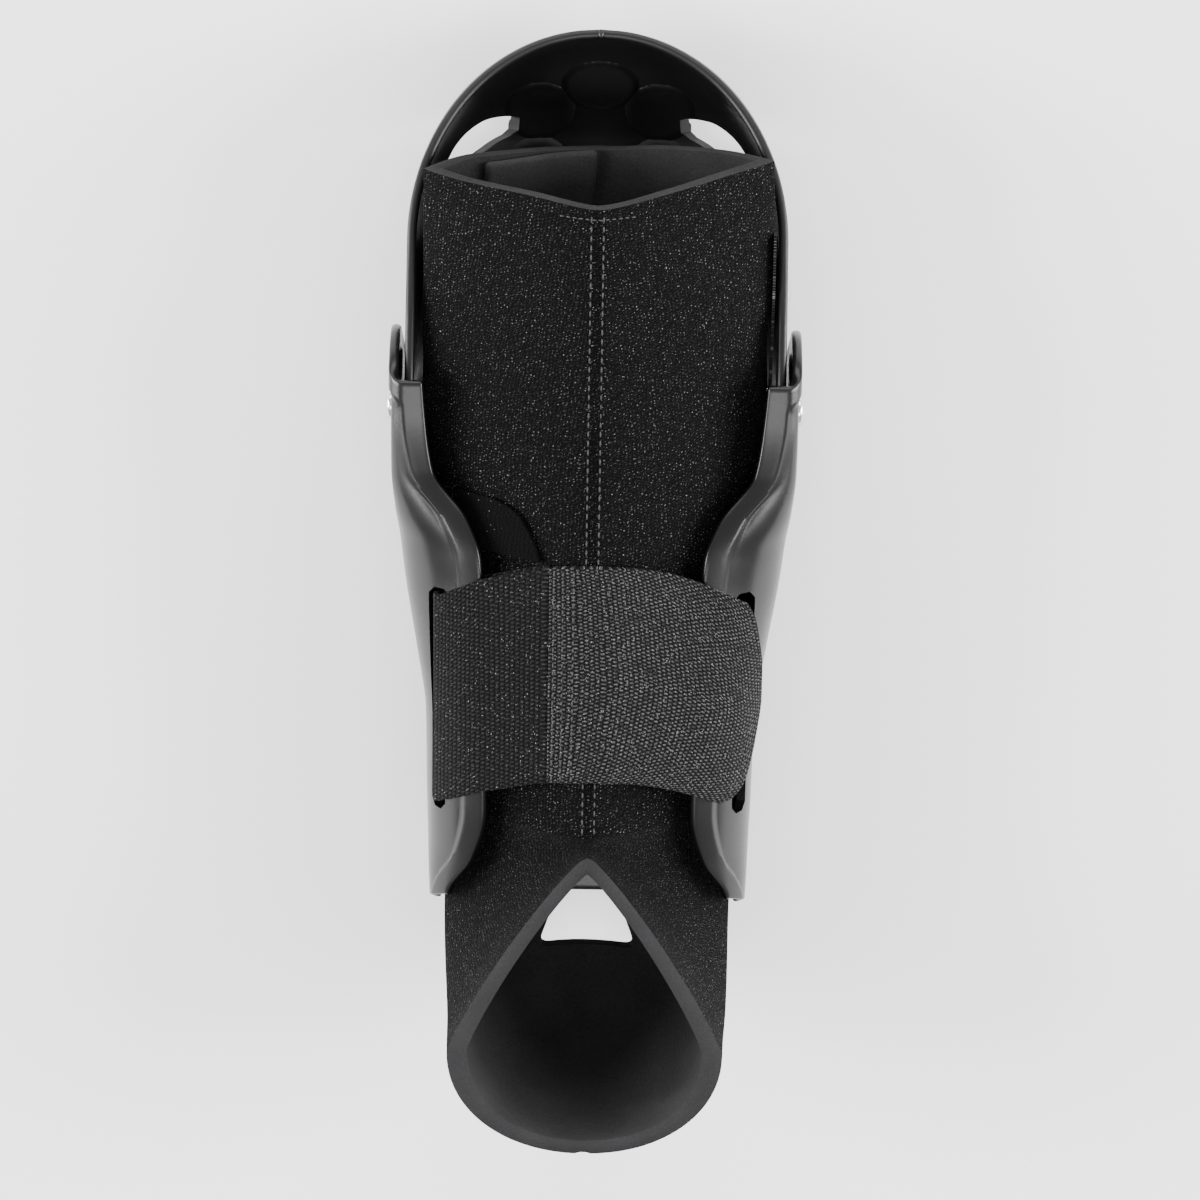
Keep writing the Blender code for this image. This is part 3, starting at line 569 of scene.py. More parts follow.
class Effects:
    """Shader groups that several finishes share, each built once."""

    def __init__(self) -> None:
        """Build every group."""
        self.grain = self.build_grain()
        self.knit = self.build_knit()
        self.ribs = self.build_ribs()
        self.sparkle = self.build_sparkle()

    def build_grain(self) -> bpy.types.NodeTree:
        """Fine moulded grain with faint handling marks."""
        bench, into, out = new_group(
            "moulded_grain",
            {"Vector": ("NodeSocketVector", 0.0), "Scale": ("NodeSocketFloat", 900.0)},
            {"Height": "NodeSocketFloat", "Marks": "NodeSocketFloat"},
        )
        cells = bench.add("ShaderNodeTexVoronoi", feature="SMOOTH_F1")
        bench.link(into.outputs["Vector"], cells.inputs["Vector"])
        bench.link(into.outputs["Scale"], cells.inputs["Scale"])
        fine = bench.noise(into.outputs["Vector"], 2600.0, 1.0)
        height = bench.math("MULTIPLY_ADD", fine, 0.35, cells.outputs["Distance"])
        bench.link(height, out.inputs["Height"])
        marks = bench.noise(into.outputs["Vector"], 42.0, 5.0)
        bench.link(bench.math("POWER", marks, 2.0), out.inputs["Marks"])
        return bench.tree

    def build_knit(self) -> bpy.types.NodeTree:
        """Fine slanting knit, rows of small loops, with a painted highlight on the loop crests in random patches."""
        bench, into, out = new_group(
            "knit_rows",
            {
                "UV": ("NodeSocketVector", 0.0),
                "Rows": ("NodeSocketFloat", 110.0),
                "Wales": ("NodeSocketFloat", 90.0),
                "Slant": ("NodeSocketFloat", 0.45),
            },
            {"Height": "NodeSocketFloat", "Shade": "NodeSocketFloat", "Loops": "NodeSocketFloat"},
        )
        split = bench.add("ShaderNodeSeparateXYZ")
        bench.link(into.outputs["UV"], split.inputs[0])
        wobble = bench.noise(into.outputs["UV"], 26.0, 3.0)
        shift = bench.math("MULTIPLY", wobble, 0.03)
        u = bench.math("ADD", split.outputs["X"], shift)
        v = bench.math("ADD", split.outputs["Y"], shift)
        slanted = bench.math("MULTIPLY_ADD", u, into.outputs["Slant"], v)
        row = bench.math("MULTIPLY", slanted, bench.math("MULTIPLY", into.outputs["Rows"], math.tau))
        wale = bench.math("MULTIPLY", u, bench.math("MULTIPLY", into.outputs["Wales"], math.tau))
        row_wave = bench.math("SINE", row)
        wale_wave = bench.math("SINE", bench.math("ADD", wale, bench.math("MULTIPLY", row_wave, 0.9)))
        height = bench.math("MULTIPLY_ADD", wale_wave, 0.55, row_wave)
        fuzz = bench.noise(into.outputs["UV"], 340.0, 2.0)
        height = bench.math("MULTIPLY_ADD", fuzz, 1.4, height)
        bench.link(height, out.inputs["Height"])
        # Shade: the loop crests painted lighter, a painted highlight, shown only where a random patch allows.
        patchy = bench.noise(into.outputs["UV"], 90.0, 2.0)
        crest = bench.math("MULTIPLY_ADD", height, 0.42, bench.math("MULTIPLY_ADD", patchy, 1.6, -1.25))
        bench.link(bench.math("POWER", bench.math("MAXIMUM", crest, 0.0), 1.5), out.inputs["Shade"])
        # Loops: the lattice on which the painted glint dots may sit.
        loops = [bench.math("POWER", bench.math("MULTIPLY_ADD", wave, 0.5, 0.5), 1.6) for wave in (row_wave, wale_wave)]
        bench.link(bench.math("MULTIPLY", *loops), out.inputs["Loops"])
        return bench.tree

    def build_ribs(self) -> bpy.types.NodeTree:
        """Woven ribs across the strap, broken into short floats, with painted glint dots on the rib crests for the
        colour.
        """
        bench, into, out = new_group(
            "woven_ribs",
            {
                "UV": ("NodeSocketVector", 0.0),
                "Ribs": ("NodeSocketFloat", 59.0),
                "Picks": ("NodeSocketFloat", 110.0),
            },
            {"Height": "NodeSocketFloat", "CrestGlint": "NodeSocketFloat"},
        )
        split = bench.add("ShaderNodeSeparateXYZ")
        bench.link(into.outputs["UV"], split.inputs[0])
        wobble = bench.math("MULTIPLY", bench.noise(into.outputs["UV"], 12.0, 2.0), 0.006)
        u = bench.math("ADD", split.outputs["X"], wobble)
        rib = bench.math("MULTIPLY", u, bench.math("MULTIPLY", into.outputs["Ribs"], math.tau))
        pick = bench.math("MULTIPLY", split.outputs["Y"], bench.math("MULTIPLY", into.outputs["Picks"], math.tau))
        rib_wave = bench.math("SINE", rib)
        half_step = bench.math("MULTIPLY", bench.math("SIGN", rib_wave), math.pi / 2)
        pick_wave = bench.math("SINE", bench.math("ADD", pick, half_step))
        crest = bench.math("ABSOLUTE", rib_wave)
        height = bench.math("MULTIPLY_ADD", pick_wave, 0.45, crest)
        fuzz = bench.noise(into.outputs["UV"], 260.0, 2.0)
        height = bench.math("MULTIPLY_ADD", fuzz, 0.8, height)
        bench.link(height, out.inputs["Height"])
        # Painted glints: bright dots on the rib crests, in random patches, used only for the colour.
        dot = bench.math("POWER", bench.math("MULTIPLY_ADD", pick_wave, 0.5, 0.5), 1.5)
        patchy = bench.noise(into.outputs["UV"], 170.0, 2.0)
        lit = bench.math("MAXIMUM", bench.math("MULTIPLY_ADD", patchy, 3.2, -1.1), 0.05)
        bench.link(bench.math("MULTIPLY", bench.math("MULTIPLY", crest, dot), lit), out.inputs["CrestGlint"])
        return bench.tree

    def build_sparkle(self) -> bpy.types.NodeTree:
        """Painted glints: small bright dots in the base colour where single threads would catch the light."""
        bench, into, out = new_group(
            "painted_thread_glints",
            {
                "UV": ("NodeSocketVector", 0.0),
                "Scale": ("NodeSocketFloat", 160.0),
                "Share": ("NodeSocketFloat", 0.10),
            },
            {"Glint": "NodeSocketFloat"},
        )
        cells = bench.add("ShaderNodeTexVoronoi", feature="F1")
        bench.link(into.outputs["UV"], cells.inputs["Vector"])
        bench.link(into.outputs["Scale"], cells.inputs["Scale"])
        split = bench.add("ShaderNodeSeparateColor")
        bench.link(cells.outputs["Color"], split.inputs[0])
        chosen = bench.math("LESS_THAN", split.outputs[0], into.outputs["Share"])
        dot = bench.math("LESS_THAN", cells.outputs["Distance"], 0.42)
        # Painted glint: a bright dot in each chosen cell, with a random strength.
        glint = bench.math("MULTIPLY", bench.math("MULTIPLY", chosen, dot), split.outputs[1])
        bench.link(glint, out.inputs["Glint"])
        return bench.tree


def start_material(name: str) -> tuple[NodeBench, bpy.types.Node, bpy.types.Material]:
    """Start a material and return its bench, shader and itself."""
    material = bpy.data.materials.new(name)
    material.use_nodes = True
    bench = NodeBench(material.node_tree)
    return bench, material.node_tree.nodes["Principled BSDF"], material


def group_node(bench: NodeBench, tree: bpy.types.NodeTree, **values: float) -> bpy.types.Node:
    """Place a group with its own values."""
    node = bench.add("ShaderNodeGroup")
    node.node_tree = tree
    for label, value in values.items():
        node.inputs[label].default_value = value
    return node


def mix_colours(bench: NodeBench, share: bpy.types.NodeSocket, low: Sequence[float], high: Sequence[float]) -> bpy.types.NodeSocket:
    """Mix two colours by a socket and return the colour."""
    node = bench.add("ShaderNodeMix", data_type="RGBA", clamp_factor=True)
    bench.link(share, node.inputs["Factor"])
    node.inputs["A"].default_value = (*low, 1.0)
    node.inputs["B"].default_value = (*high, 1.0)
    return node.outputs["Result"]


def add_bump(bench: NodeBench, height: bpy.types.NodeSocket, shader: bpy.types.Node, distance: float, strength: float) -> None:
    """Bump a shader's normal."""
    bump = bench.add("ShaderNodeBump")
    bump.inputs["Distance"].default_value = distance
    bump.inputs["Strength"].default_value = strength
    bench.link(height, bump.inputs["Height"])
    bench.link(bump.outputs["Normal"], shader.inputs["Normal"])


@dataclass(frozen=True)
class MouldedPlastic:
    """Black moulded plastic with a fine grain and a soft sheen."""

    name: str
    colour: tuple[float, float, float] = (0.0030, 0.0030, 0.0032)
    marked: tuple[float, float, float] = (0.0050, 0.0050, 0.0052)
    roughness: float = 0.22
    grain: float = 0.08

    def material(self, effects: Effects) -> bpy.types.Material:
        """Build the material."""
        bench, shader, material = start_material(self.name)
        place = bench.add("ShaderNodeTexCoord")
        grain = group_node(bench, effects.grain)
        bench.link(place.outputs["Object"], grain.inputs["Vector"])
        colour = mix_colours(bench, grain.outputs["Marks"], self.colour, self.marked)
        bench.link(colour, shader.inputs["Base Color"])
        rough = bench.math("MULTIPLY_ADD", grain.outputs["Marks"], 0.16, self.roughness)
        bench.link(rough, shader.inputs["Roughness"])
        shader.inputs["Specular IOR Level"].default_value = 0.34
        add_bump(bench, grain.outputs["Height"], shader, 0.0001, self.grain)
        return material


@dataclass(frozen=True)
class KnitCloth:
    """Knit face of the foam sleeve, with painted glints: a few bright dots in the colour where single threads would
    catch the light.
    """

    name: str
    low: tuple[float, float, float] = (0.0010, 0.0010, 0.0011)
    # high: colour of the painted highlight on the loop crests; glint: colour of the painted glint dots.
    high: tuple[float, float, float] = (0.022, 0.022, 0.0224)
    glint: tuple[float, float, float] = (0.15, 0.15, 0.153)
    share: float = 0.50
    bump: float = 0.5

    def material(self, effects: Effects) -> bpy.types.Material:
        """Build the material."""
        bench, shader, material = start_material(self.name)
        uv = bench.add("ShaderNodeUVMap", uv_map="weave")
        knit = group_node(bench, effects.knit)
        glints = group_node(bench, effects.sparkle, Share=self.share, Scale=210.0)
        # Painted glints: bright dots only on the loop lattice.
        bright = bench.math("MULTIPLY", glints.outputs["Glint"], knit.outputs["Loops"])
        bench.link(uv.outputs["UV"], knit.inputs["UV"])
        bench.link(uv.outputs["UV"], glints.inputs["UV"])
        # Base tone: loop crests painted lighter as a painted highlight, in random patches; the painted glint dots are
        # mixed on top.
        base = mix_colours(bench, knit.outputs["Shade"], self.low, self.high)
        node = bench.add("ShaderNodeMix", data_type="RGBA", clamp_factor=True)
        bench.link(bright, node.inputs["Factor"])
        bench.link(base, node.inputs["A"])
        node.inputs["B"].default_value = (*self.glint, 1.0)
        bench.link(node.outputs["Result"], shader.inputs["Base Color"])
        rough = bench.math("MULTIPLY_ADD", glints.outputs["Glint"], -0.35, 0.88)
        bench.link(rough, shader.inputs["Roughness"])
        shader.inputs["Specular IOR Level"].default_value = 0.05
        shader.inputs["Sheen Weight"].default_value = 0.01
        shader.inputs["Sheen Roughness"].default_value = 0.45
        add_bump(bench, knit.outputs["Height"], shader, 0.00035, self.bump)
        return material


@dataclass(frozen=True)
class CutFoam:
    """Bare foam along a cut edge, or the plain pile inside."""

    name: str
    low: tuple[float, float, float] = (0.008, 0.008, 0.0085)
    high: tuple[float, float, float] = (0.030, 0.030, 0.031)
    scale: float = 1500.0
    bump: float = 0.5
    sheen: float = 0.0

    def material(self, effects: Effects) -> bpy.types.Material:
        """Build the material."""
        bench, shader, material = start_material(self.name)
        place = bench.add("ShaderNodeTexCoord")
        fine = bench.noise(place.outputs["Object"], self.scale, 3.0)
        broad = bench.noise(place.outputs["Object"], 70.0, 3.0)
        shade = bench.math("MULTIPLY", bench.math("ADD", fine, broad), 0.55)
        bench.link(mix_colours(bench, shade, self.low, self.high), shader.inputs["Base Color"])
        shader.inputs["Roughness"].default_value = 0.93
        shader.inputs["Specular IOR Level"].default_value = 0.08
        shader.inputs["Sheen Weight"].default_value = self.sheen
        add_bump(bench, fine, shader, 0.0003, self.bump)
        return material


@dataclass(frozen=True)
class Webbing:
    """Woven or ribbed strap cloth, with painted glints: bright dots on the rib crests and a few bright single-thread
    dots.
    """

    name: str
    ribs: float
    picks: float
    low: tuple[float, float, float] = (0.0015, 0.0015, 0.0015)
    # high: colour of the painted glint dots on the rib crests; glint: colour of the painted single-thread glints.
    high: tuple[float, float, float] = (0.100, 0.099, 0.098)
    glint: tuple[float, float, float] = (0.17, 0.17, 0.17)
    share: float = 0.10
    bump: float = 0.7

    def material(self, effects: Effects) -> bpy.types.Material:
        """Build the material."""
        bench, shader, material = start_material(self.name)
        uv = bench.add("ShaderNodeUVMap", uv_map="weave")
        ribs = group_node(bench, effects.ribs, Ribs=self.ribs, Picks=self.picks)
        glints = group_node(bench, effects.sparkle, Share=self.share, Scale=260.0)
        bench.link(uv.outputs["UV"], ribs.inputs["UV"])
        bench.link(uv.outputs["UV"], glints.inputs["UV"])
        # Painted glints: rib crests mixed towards the high colour, then bright single-thread dots on top.
        base = mix_colours(bench, ribs.outputs["CrestGlint"], self.low, self.high)
        node = bench.add("ShaderNodeMix", data_type="RGBA", clamp_factor=True)
        bench.link(glints.outputs["Glint"], node.inputs["Factor"])
        bench.link(base, node.inputs["A"])
        node.inputs["B"].default_value = (*self.glint, 1.0)
        bench.link(node.outputs["Result"], shader.inputs["Base Color"])
        shader.inputs["Roughness"].default_value = 0.78
        shader.inputs["Specular IOR Level"].default_value = 0.06
        shader.inputs["Sheen Weight"].default_value = 0.01
        add_bump(bench, ribs.outputs["Height"], shader, 0.0004, self.bump)
        return material


@dataclass(frozen=True)
class PlainFinish:
    """Thread or polished metal, with a fine variation."""

    name: str
    colour: tuple[float, float, float]
    varied: tuple[float, float, float]
    roughness: float
    metallic: float = 0.0
    scale: float = 600.0

    def material(self, effects: Effects) -> bpy.types.Material:
        """Build the material."""
        bench, shader, material = start_material(self.name)
        place = bench.add("ShaderNodeTexCoord")
        fine = bench.noise(place.outputs["Object"], self.scale, 3.0)
        bench.link(mix_colours(bench, fine, self.colour, self.varied), shader.inputs["Base Color"])
        bench.link(bench.math("MULTIPLY_ADD", fine, 0.1, self.roughness), shader.inputs["Roughness"])
        shader.inputs["Metallic"].default_value = self.metallic
        add_bump(bench, fine, shader, 0.00005, 0.3)
        return material


class Finishes:
    """Every finish on the guard."""

    def __init__(self) -> None:
        """Build the materials."""
        effects = Effects()
        self.cup = MouldedPlastic("cup_plastic", roughness=0.34, grain=0.14).material(effects)
        self.shell = MouldedPlastic("shell_plastic").material(effects)
        self.knit = KnitCloth("sleeve_knit").material(effects)
        self.foam = CutFoam("sleeve_cut_foam").material(effects)
        self.pile = CutFoam(
            "sleeve_pile", (0.006, 0.006, 0.006), (0.034, 0.034, 0.034), 1300.0, 0.9, 0.02
        ).material(effects)
        self.strap = Webbing("strap_ribbed", 37.0, 92.0).material(effects)
        self.elastic = Webbing("strap_woven", 33.0, 84.0, high=(0.030, 0.0295, 0.029), share=0.05).material(effects)
        self.patch = KnitCloth("patch_cloth", high=(0.004, 0.004, 0.004), share=0.03).material(effects)
        self.hook = Webbing("hook_tape", 130.0, 130.0, share=0.22).material(effects)
        self.thread = PlainFinish("black_thread", (0.004, 0.004, 0.004), (0.014, 0.014, 0.014), 0.62).material(effects)
        self.rivet = PlainFinish(
            "polished_rivet", (0.62, 0.62, 0.63), (0.80, 0.80, 0.81), 0.16, 1.0
        ).material(effects)


@dataclass
class LowerShell:
    """Hard heel shell with two ears, and two wings with a strap slot each."""

    finishes: Finishes
    columns: int = 260
    rows: int = 150
    flat_share: float = 0.16
    rim_width: float = 0.0056
    rim_lift: float = 0.0007
    edge_bulge: float = 0.0008
    edge_round_factor: float = 1.35

    def section(self, y: float) -> Array:
        """Half of the outer section at one height, from the flat strip to the front edge."""
        read = {
            name: float(smooth_read(np.array(LOWER["down"]) * SIZES.heel_reach, LOWER[name], -y))
            for name in LOWER
            if name != "down"
        }
        half_width = read["width"] * SIZES.ear_half_width
        front = read["front"] * SIZES.wing_front
        edge = read["edge"] * SIZES.ear_half_width
        side = -read["side"] * SIZES.pivot_height
        tight = SIZES.shell_wall * self.edge_round_factor
        round_x = tight + read["turn"] * (0.6 * half_width - tight)
        round_z = tight + read["turn"] * (front - tight)
        angle = np.linspace(0, math.pi / 2, 120)
        back_x = SIZES.back_flat + (half_width - SIZES.back_flat) * np.sin(angle)
        back_z = side - (SIZES.pivot_height + side) * np.cos(angle)
        corner_x = half_width - round_x * (1 - np.cos(angle))
        corner_z = front - round_z * (1 - np.sin(angle))
        line = np.stack([np.concatenate([back_x, corner_x, [0.0]]), np.concatenate([back_z, corner_z, [front]])], 1)
        keep = (line[:, 0] > edge) | (line[:, 1] < 0)
        last = int(np.nonzero(keep)[0][-1])
        over = line[last + 1]
        share = (line[last, 0] - edge) / max(line[last, 0] - over[0], 1e-9)
        return np.concatenate([line[: last + 1], [line[last] + share * (over - line[last])]])

    def limits(self, share: Array) -> tuple[Array, Array]:
        """Lower and upper edge at shares of the half girth."""
        at_ear = along(self.section(0.0), np.linspace(0, 1, 400))
        height = np.interp(share, np.linspace(0, 1, 400), at_ear[:, 1])
        low_top = -SIZES.back_gap / 2
        rise = np.clip((height + SIZES.ear_radius) / SIZES.ear_radius, 0, None)
        shape = 1 - np.clip(1 - rise, 0, 1) ** 2.4
        fall = np.clip(height / SIZES.ear_radius, 0, 1)
        ear_top = SIZES.ear_radius * np.sqrt(np.clip(1 - fall**2, 0, 1))
        blend = np.where(rise > 0, shape ** (1 / 2.4), 0.0)
        top = low_top + (ear_top - low_top) * blend
        bottom = -SIZES.heel_reach + (SIZES.heel_reach - SIZES.tip_reach) * share**1.6
        return bottom, top

    def points(self) -> Array:
        """Outer surface as a grid of points."""
        field = SectionField(-SIZES.heel_reach, SIZES.ear_radius, self.section)
        girth = np.linspace(-1, 1, self.columns)
        level = np.linspace(0, 1, self.rows)
        g, t = np.meshgrid(girth, level)
        share = np.clip((np.abs(g) - self.flat_share) / (1 - self.flat_share), 0, 1)
        bottom, top = self.limits(share)
        y = bottom + (top - bottom) * t
        x, z = field.at(y, share)
        flat = np.abs(g) < self.flat_share
        x = np.where(flat, np.abs(g) / self.flat_share * SIZES.back_flat, x)
        points = np.stack([np.sign(g) * x, y, z], 2)
        from_front = (1 - share) * field.length(y)
        from_top = np.where(share > 0.5, (top - y) * 1.05, 1.0)
        from_edge = np.minimum(from_front, from_top)
        rim = 1 - ease(self.rim_width, self.rim_width + 0.0011, from_edge)
        rim *= ease(0.5, 0.64, share)
        lift = self.rim_lift * rim
        return points + surface_normals(points) * lift[..., None]

    def slot_cutter(self, side: Side) -> bmesh.types.BMesh:
        """Closed shape of a strap slot."""
        middle = -SIZES.strap_reach - SIZES.strap_drop
        bm = bmesh.new()
        loops = []
        for level in np.linspace(-1, 1, 33):
            section = self.section(middle + level * SIZES.slot_length / 2)
            front = section[section[:, 1] > 0]
            place = int(np.argmin(np.abs(front[:, 0] - SIZES.slot_spread)))
            run = front[place + 2] - front[place - 2]
            run /= np.linalg.norm(run)
            height = float(np.interp(SIZES.slot_spread, front[::-1, 0], front[::-1, 1]))
            from_end = (1 - abs(level)) * SIZES.slot_length / SIZES.slot_width * 1.5
            half = SIZES.slot_width / 2 * (0.45 + 0.55 * math.sqrt(max(0, 1 - (1 - min(from_end, 1)) ** 2)))
            loop = []
            for slide, lift in ((-1, -2.4), (1, -2.4), (1, 1.4), (-1, 1.4)):
                x = SIZES.slot_spread + slide * half * run[0] + lift * SIZES.shell_wall * run[1]
                z = height + slide * half * run[1] - lift * SIZES.shell_wall * run[0]
                y = middle + level * SIZES.slot_length / 2
                loop.append(bm.verts.new((side.value * x, y, z)))
            loops.append(loop)
        rings = [[bm.edges.new((loop[i - 1], loop[i])) for i in range(4)] for loop in loops]
        for lower, upper in zip(rings, rings[1:]):
            bmesh.ops.bridge_loops(bm, edges=lower + upper)
        bmesh.ops.holes_fill(bm, edges=bm.edges, sides=4)
        return bm

    def build(self) -> bpy.types.Object:
        """Build the shell and return it."""
        rows = thick_rows(self.points(), SIZES.shell_wall, self.edge_bulge)
        grid = Grid(rows, rows[..., :2] * 10, closed=True)
        bmesh.ops.recalc_face_normals(grid.bm, faces=grid.bm.faces)
        shell = make_piece("heel_shell", grid.bm, [self.finishes.shell])
        hole = cross_cylinder(0.0025, 0.2)
        cut_with(shell, [hole, self.slot_cutter(Side.LEFT), self.slot_cutter(Side.RIGHT)])
        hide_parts("lower_shell")
        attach(shell, Body.GUARD.value)
        return shell


@dataclass
class CalfCup:
    """Deep cup behind the calf, with side windows and a ring of low circles."""

    finishes: Finishes
    columns: int = 276
    straight_rows: int = 50
    arch_rows: int = 110
    top_half_width: float = 0.0010
    edge_bulge: float = 0.0009
    flat_share: float = 0.25
    middle_share: float = 0.10
    ring_centre: float = 0.0640
    ring_radius: float = 0.0200
    circle_radius: float = 0.0094
    circle_count: int = 6
    circle_depth: float = 0.0006
    circle_line: float = 0.0005
    window_width: float = 0.0110
    window_slant: float = math.radians(52.0)

    def section(self, y: float) -> Array:
        """Half of the outer section at one height, from the flat back to the front edge."""
        ups = np.array(CUP["up"]) * SIZES.cup_reach
        back, edge, side = (
            -SIZES.pivot_height * float(smooth_read(ups, CUP[name], y)) for name in ("back", "edge", "side")
        )
        rise = max(y - SIZES.cup_centre, 0.0) / (SIZES.cup_reach - SIZES.cup_centre)
        half_width = SIZES.arm_half_width * math.sqrt(max(1 - rise**2, 0.0))
        flat = self.flat_share * half_width
        angle = np.linspace(0, math.pi / 2, 160)
        x = flat + (half_width - flat) * np.sin(angle)
        z = side - (side - back) * np.cos(angle)
        return np.stack([np.append(x, half_width), np.append(z, edge)], 1)

    def low_edge(self, share: Array) -> Array:
        """Lower edge at shares of the half girth: the arms' round ends and the back."""
        at_arm = along(self.section(0.0), np.linspace(0, 1, 400))
        height = np.interp(share, np.linspace(0, 1, 400), at_arm[:, 1])
        off = np.clip(np.abs(height) / SIZES.arm_radius, 0, 1)
        arm = -SIZES.arm_radius * np.sqrt(1 - off**2)
        behind = height < -SIZES.arm_radius
        return np.where(behind, SIZES.back_gap / 2 * (1 - share), arm)

    def circles(self, along_back: Array, girth: Array) -> Array:
        """Depth of the ring of circles, from places on the cup's back."""
        depth = np.zeros_like(girth)
        for number in range(self.circle_count):
            angle = math.tau * number / self.circle_count
            x = self.ring_radius * math.sin(angle)
            y = self.ring_radius * math.cos(angle)
            off = np.hypot(girth - x, along_back - y) - self.circle_radius
            depth = np.maximum(depth, ease(self.circle_line, -self.circle_line, off))
        return depth * self.circle_depth

    def points(self) -> Array:
        """Outer surface as a grid of points."""
        field = SectionField(-SIZES.arm_radius, SIZES.cup_reach, self.section)
        g = np.linspace(-1, 1, self.columns)
        share = np.clip((np.abs(g) - self.middle_share) / (1 - self.middle_share), 0, 1)
        low = self.low_edge(share)
        straight = np.linspace(0, 1, self.straight_rows, endpoint=False)[:, None]
        lower = low + (SIZES.cup_centre - low) * straight
        last = math.acos(self.top_half_width / SIZES.arm_half_width)
        arch = np.sin(np.linspace(0, last, self.arch_rows))[:, None]
        upper = SIZES.cup_centre + (SIZES.cup_reach - SIZES.cup_centre) * arch * np.ones_like(g)
        y = np.concatenate([lower, upper])
        shares = np.ones_like(y) * share
        x, z = field.at(y, shares)
        middle = (np.abs(g) < self.middle_share) * np.ones_like(y) > 0
        x = np.where(middle, x * np.abs(g) / self.middle_share, x)
        points = np.stack([np.sign(g) * x, y, z], 2)
        profile_y = np.linspace(0, SIZES.cup_reach, 300)
        back = -SIZES.pivot_height * smooth_read(np.array(CUP["up"]) * SIZES.cup_reach, CUP["back"], profile_y)
        reach = line_length(np.stack([profile_y, back], 1))
        reach -= np.interp(self.ring_centre, profile_y, reach)
        along_back = np.interp(y, profile_y, reach)
        step = np.linalg.norm(np.diff(points, axis=1), axis=2)
        run = np.concatenate([np.zeros((len(y), 1)), np.cumsum(step, axis=1)], axis=1)
        girth = run - run[:, [self.columns // 2]] / 2 - run[:, [self.columns // 2 - 1]] / 2
        depth = self.circles(along_back, girth)
        return points - surface_normals(points) * depth[..., None]

    def window_cutter(self, side: Side) -> bmesh.types.BMesh:
        """Closed shape of a side window, square to the slanting side."""
        fine = np.linspace(0, 1, 28)
        rough = np.linspace(0, 1, len(WINDOW["up"]))
        across = smooth_read(rough, WINDOW["across"], fine) * SIZES.arm_half_width
        ups = smooth_read(rough, WINDOW["up"], fine) * SIZES.cup_reach
        middle_x = float(np.mean(WINDOW["across"])) * SIZES.arm_half_width
        middle_y = float(np.mean(WINDOW["up"])) * SIZES.cup_reach
        line = np.stack([(across - middle_x) / math.cos(self.window_slant), ups - middle_y], 1)
        run = np.gradient(line, axis=0)
        run /= np.linalg.norm(run, axis=1, keepdims=True)
        half = np.stack([-run[:, 1], run[:, 0]], 1) * self.window_width / 2
        taper = np.interp(fine, [0, 0.03, 0.2, 0.9, 0.97, 1.0], [0.35, 0.55, 0.85, 1.0, 0.8, 0.5])
        half *= taper[:, None]
        outline = np.concatenate([line + half, (line - half)[::-1]])
        section = self.section(middle_y)
        height = float(np.interp(middle_x, section[:-1, 0], section[:-1, 1]))
        seat = Matrix.Translation((side.value * middle_x, middle_y, height))
        turn = seat @ Matrix.Rotation(-side.value * self.window_slant, 4, "Y")
        reach = SIZES.ear_half_width / 4
        return prism([(side.value * x, y) for x, y in outline], -1.5 * reach, reach, turn)

    def build(self) -> bpy.types.Object:
        """Build the cup and return it."""
        rows = thick_rows(self.points(), SIZES.shell_wall, self.edge_bulge)
        grid = Grid(rows, rows[..., :2] * 10, closed=True)
        bmesh.ops.recalc_face_normals(grid.bm, faces=grid.bm.faces)
        cup = make_piece("calf_shell", grid.bm, [self.finishes.cup])
        hole = cross_cylinder(0.0030, 0.2)
        cut_with(cup, [hole, self.window_cutter(Side.LEFT), self.window_cutter(Side.RIGHT)])
        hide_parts("calf_cup")
        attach(cup, Body.CUP.value)
        return cup


@dataclass
class Stitch:
    """One stitch: where its thread goes in and comes out."""

    start: Vector
    end: Vector


def sew(name: str, stitches: Sequence[Stitch], thickness: float, material: bpy.types.Material) -> bpy.types.Object:
    """Make a run of raised stitches as one piece.

    Args:
        name: the piece's name.
        stitches: the stitches, measured from the rivet axis.
        thickness: the thread.
        material: the thread's finish.

    Returns:
        The object.
    """
    bm = bmesh.new()
    for stitch in stitches:
        run = stitch.end - stitch.start
        turn = Vector((0, 0, 1)).rotation_difference(run).to_matrix().to_4x4()
        size = Matrix.Diagonal((thickness / 2, thickness / 2, run.length / 2, 1.0))
        place = Matrix.Translation((stitch.start + stitch.end) / 2)
        bmesh.ops.create_uvsphere(bm, u_segments=7, v_segments=5, radius=1.0, matrix=place @ turn @ size)
    piece = make_piece(name, bm, [material])
    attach(piece, Body.GUARD.value)
    return piece


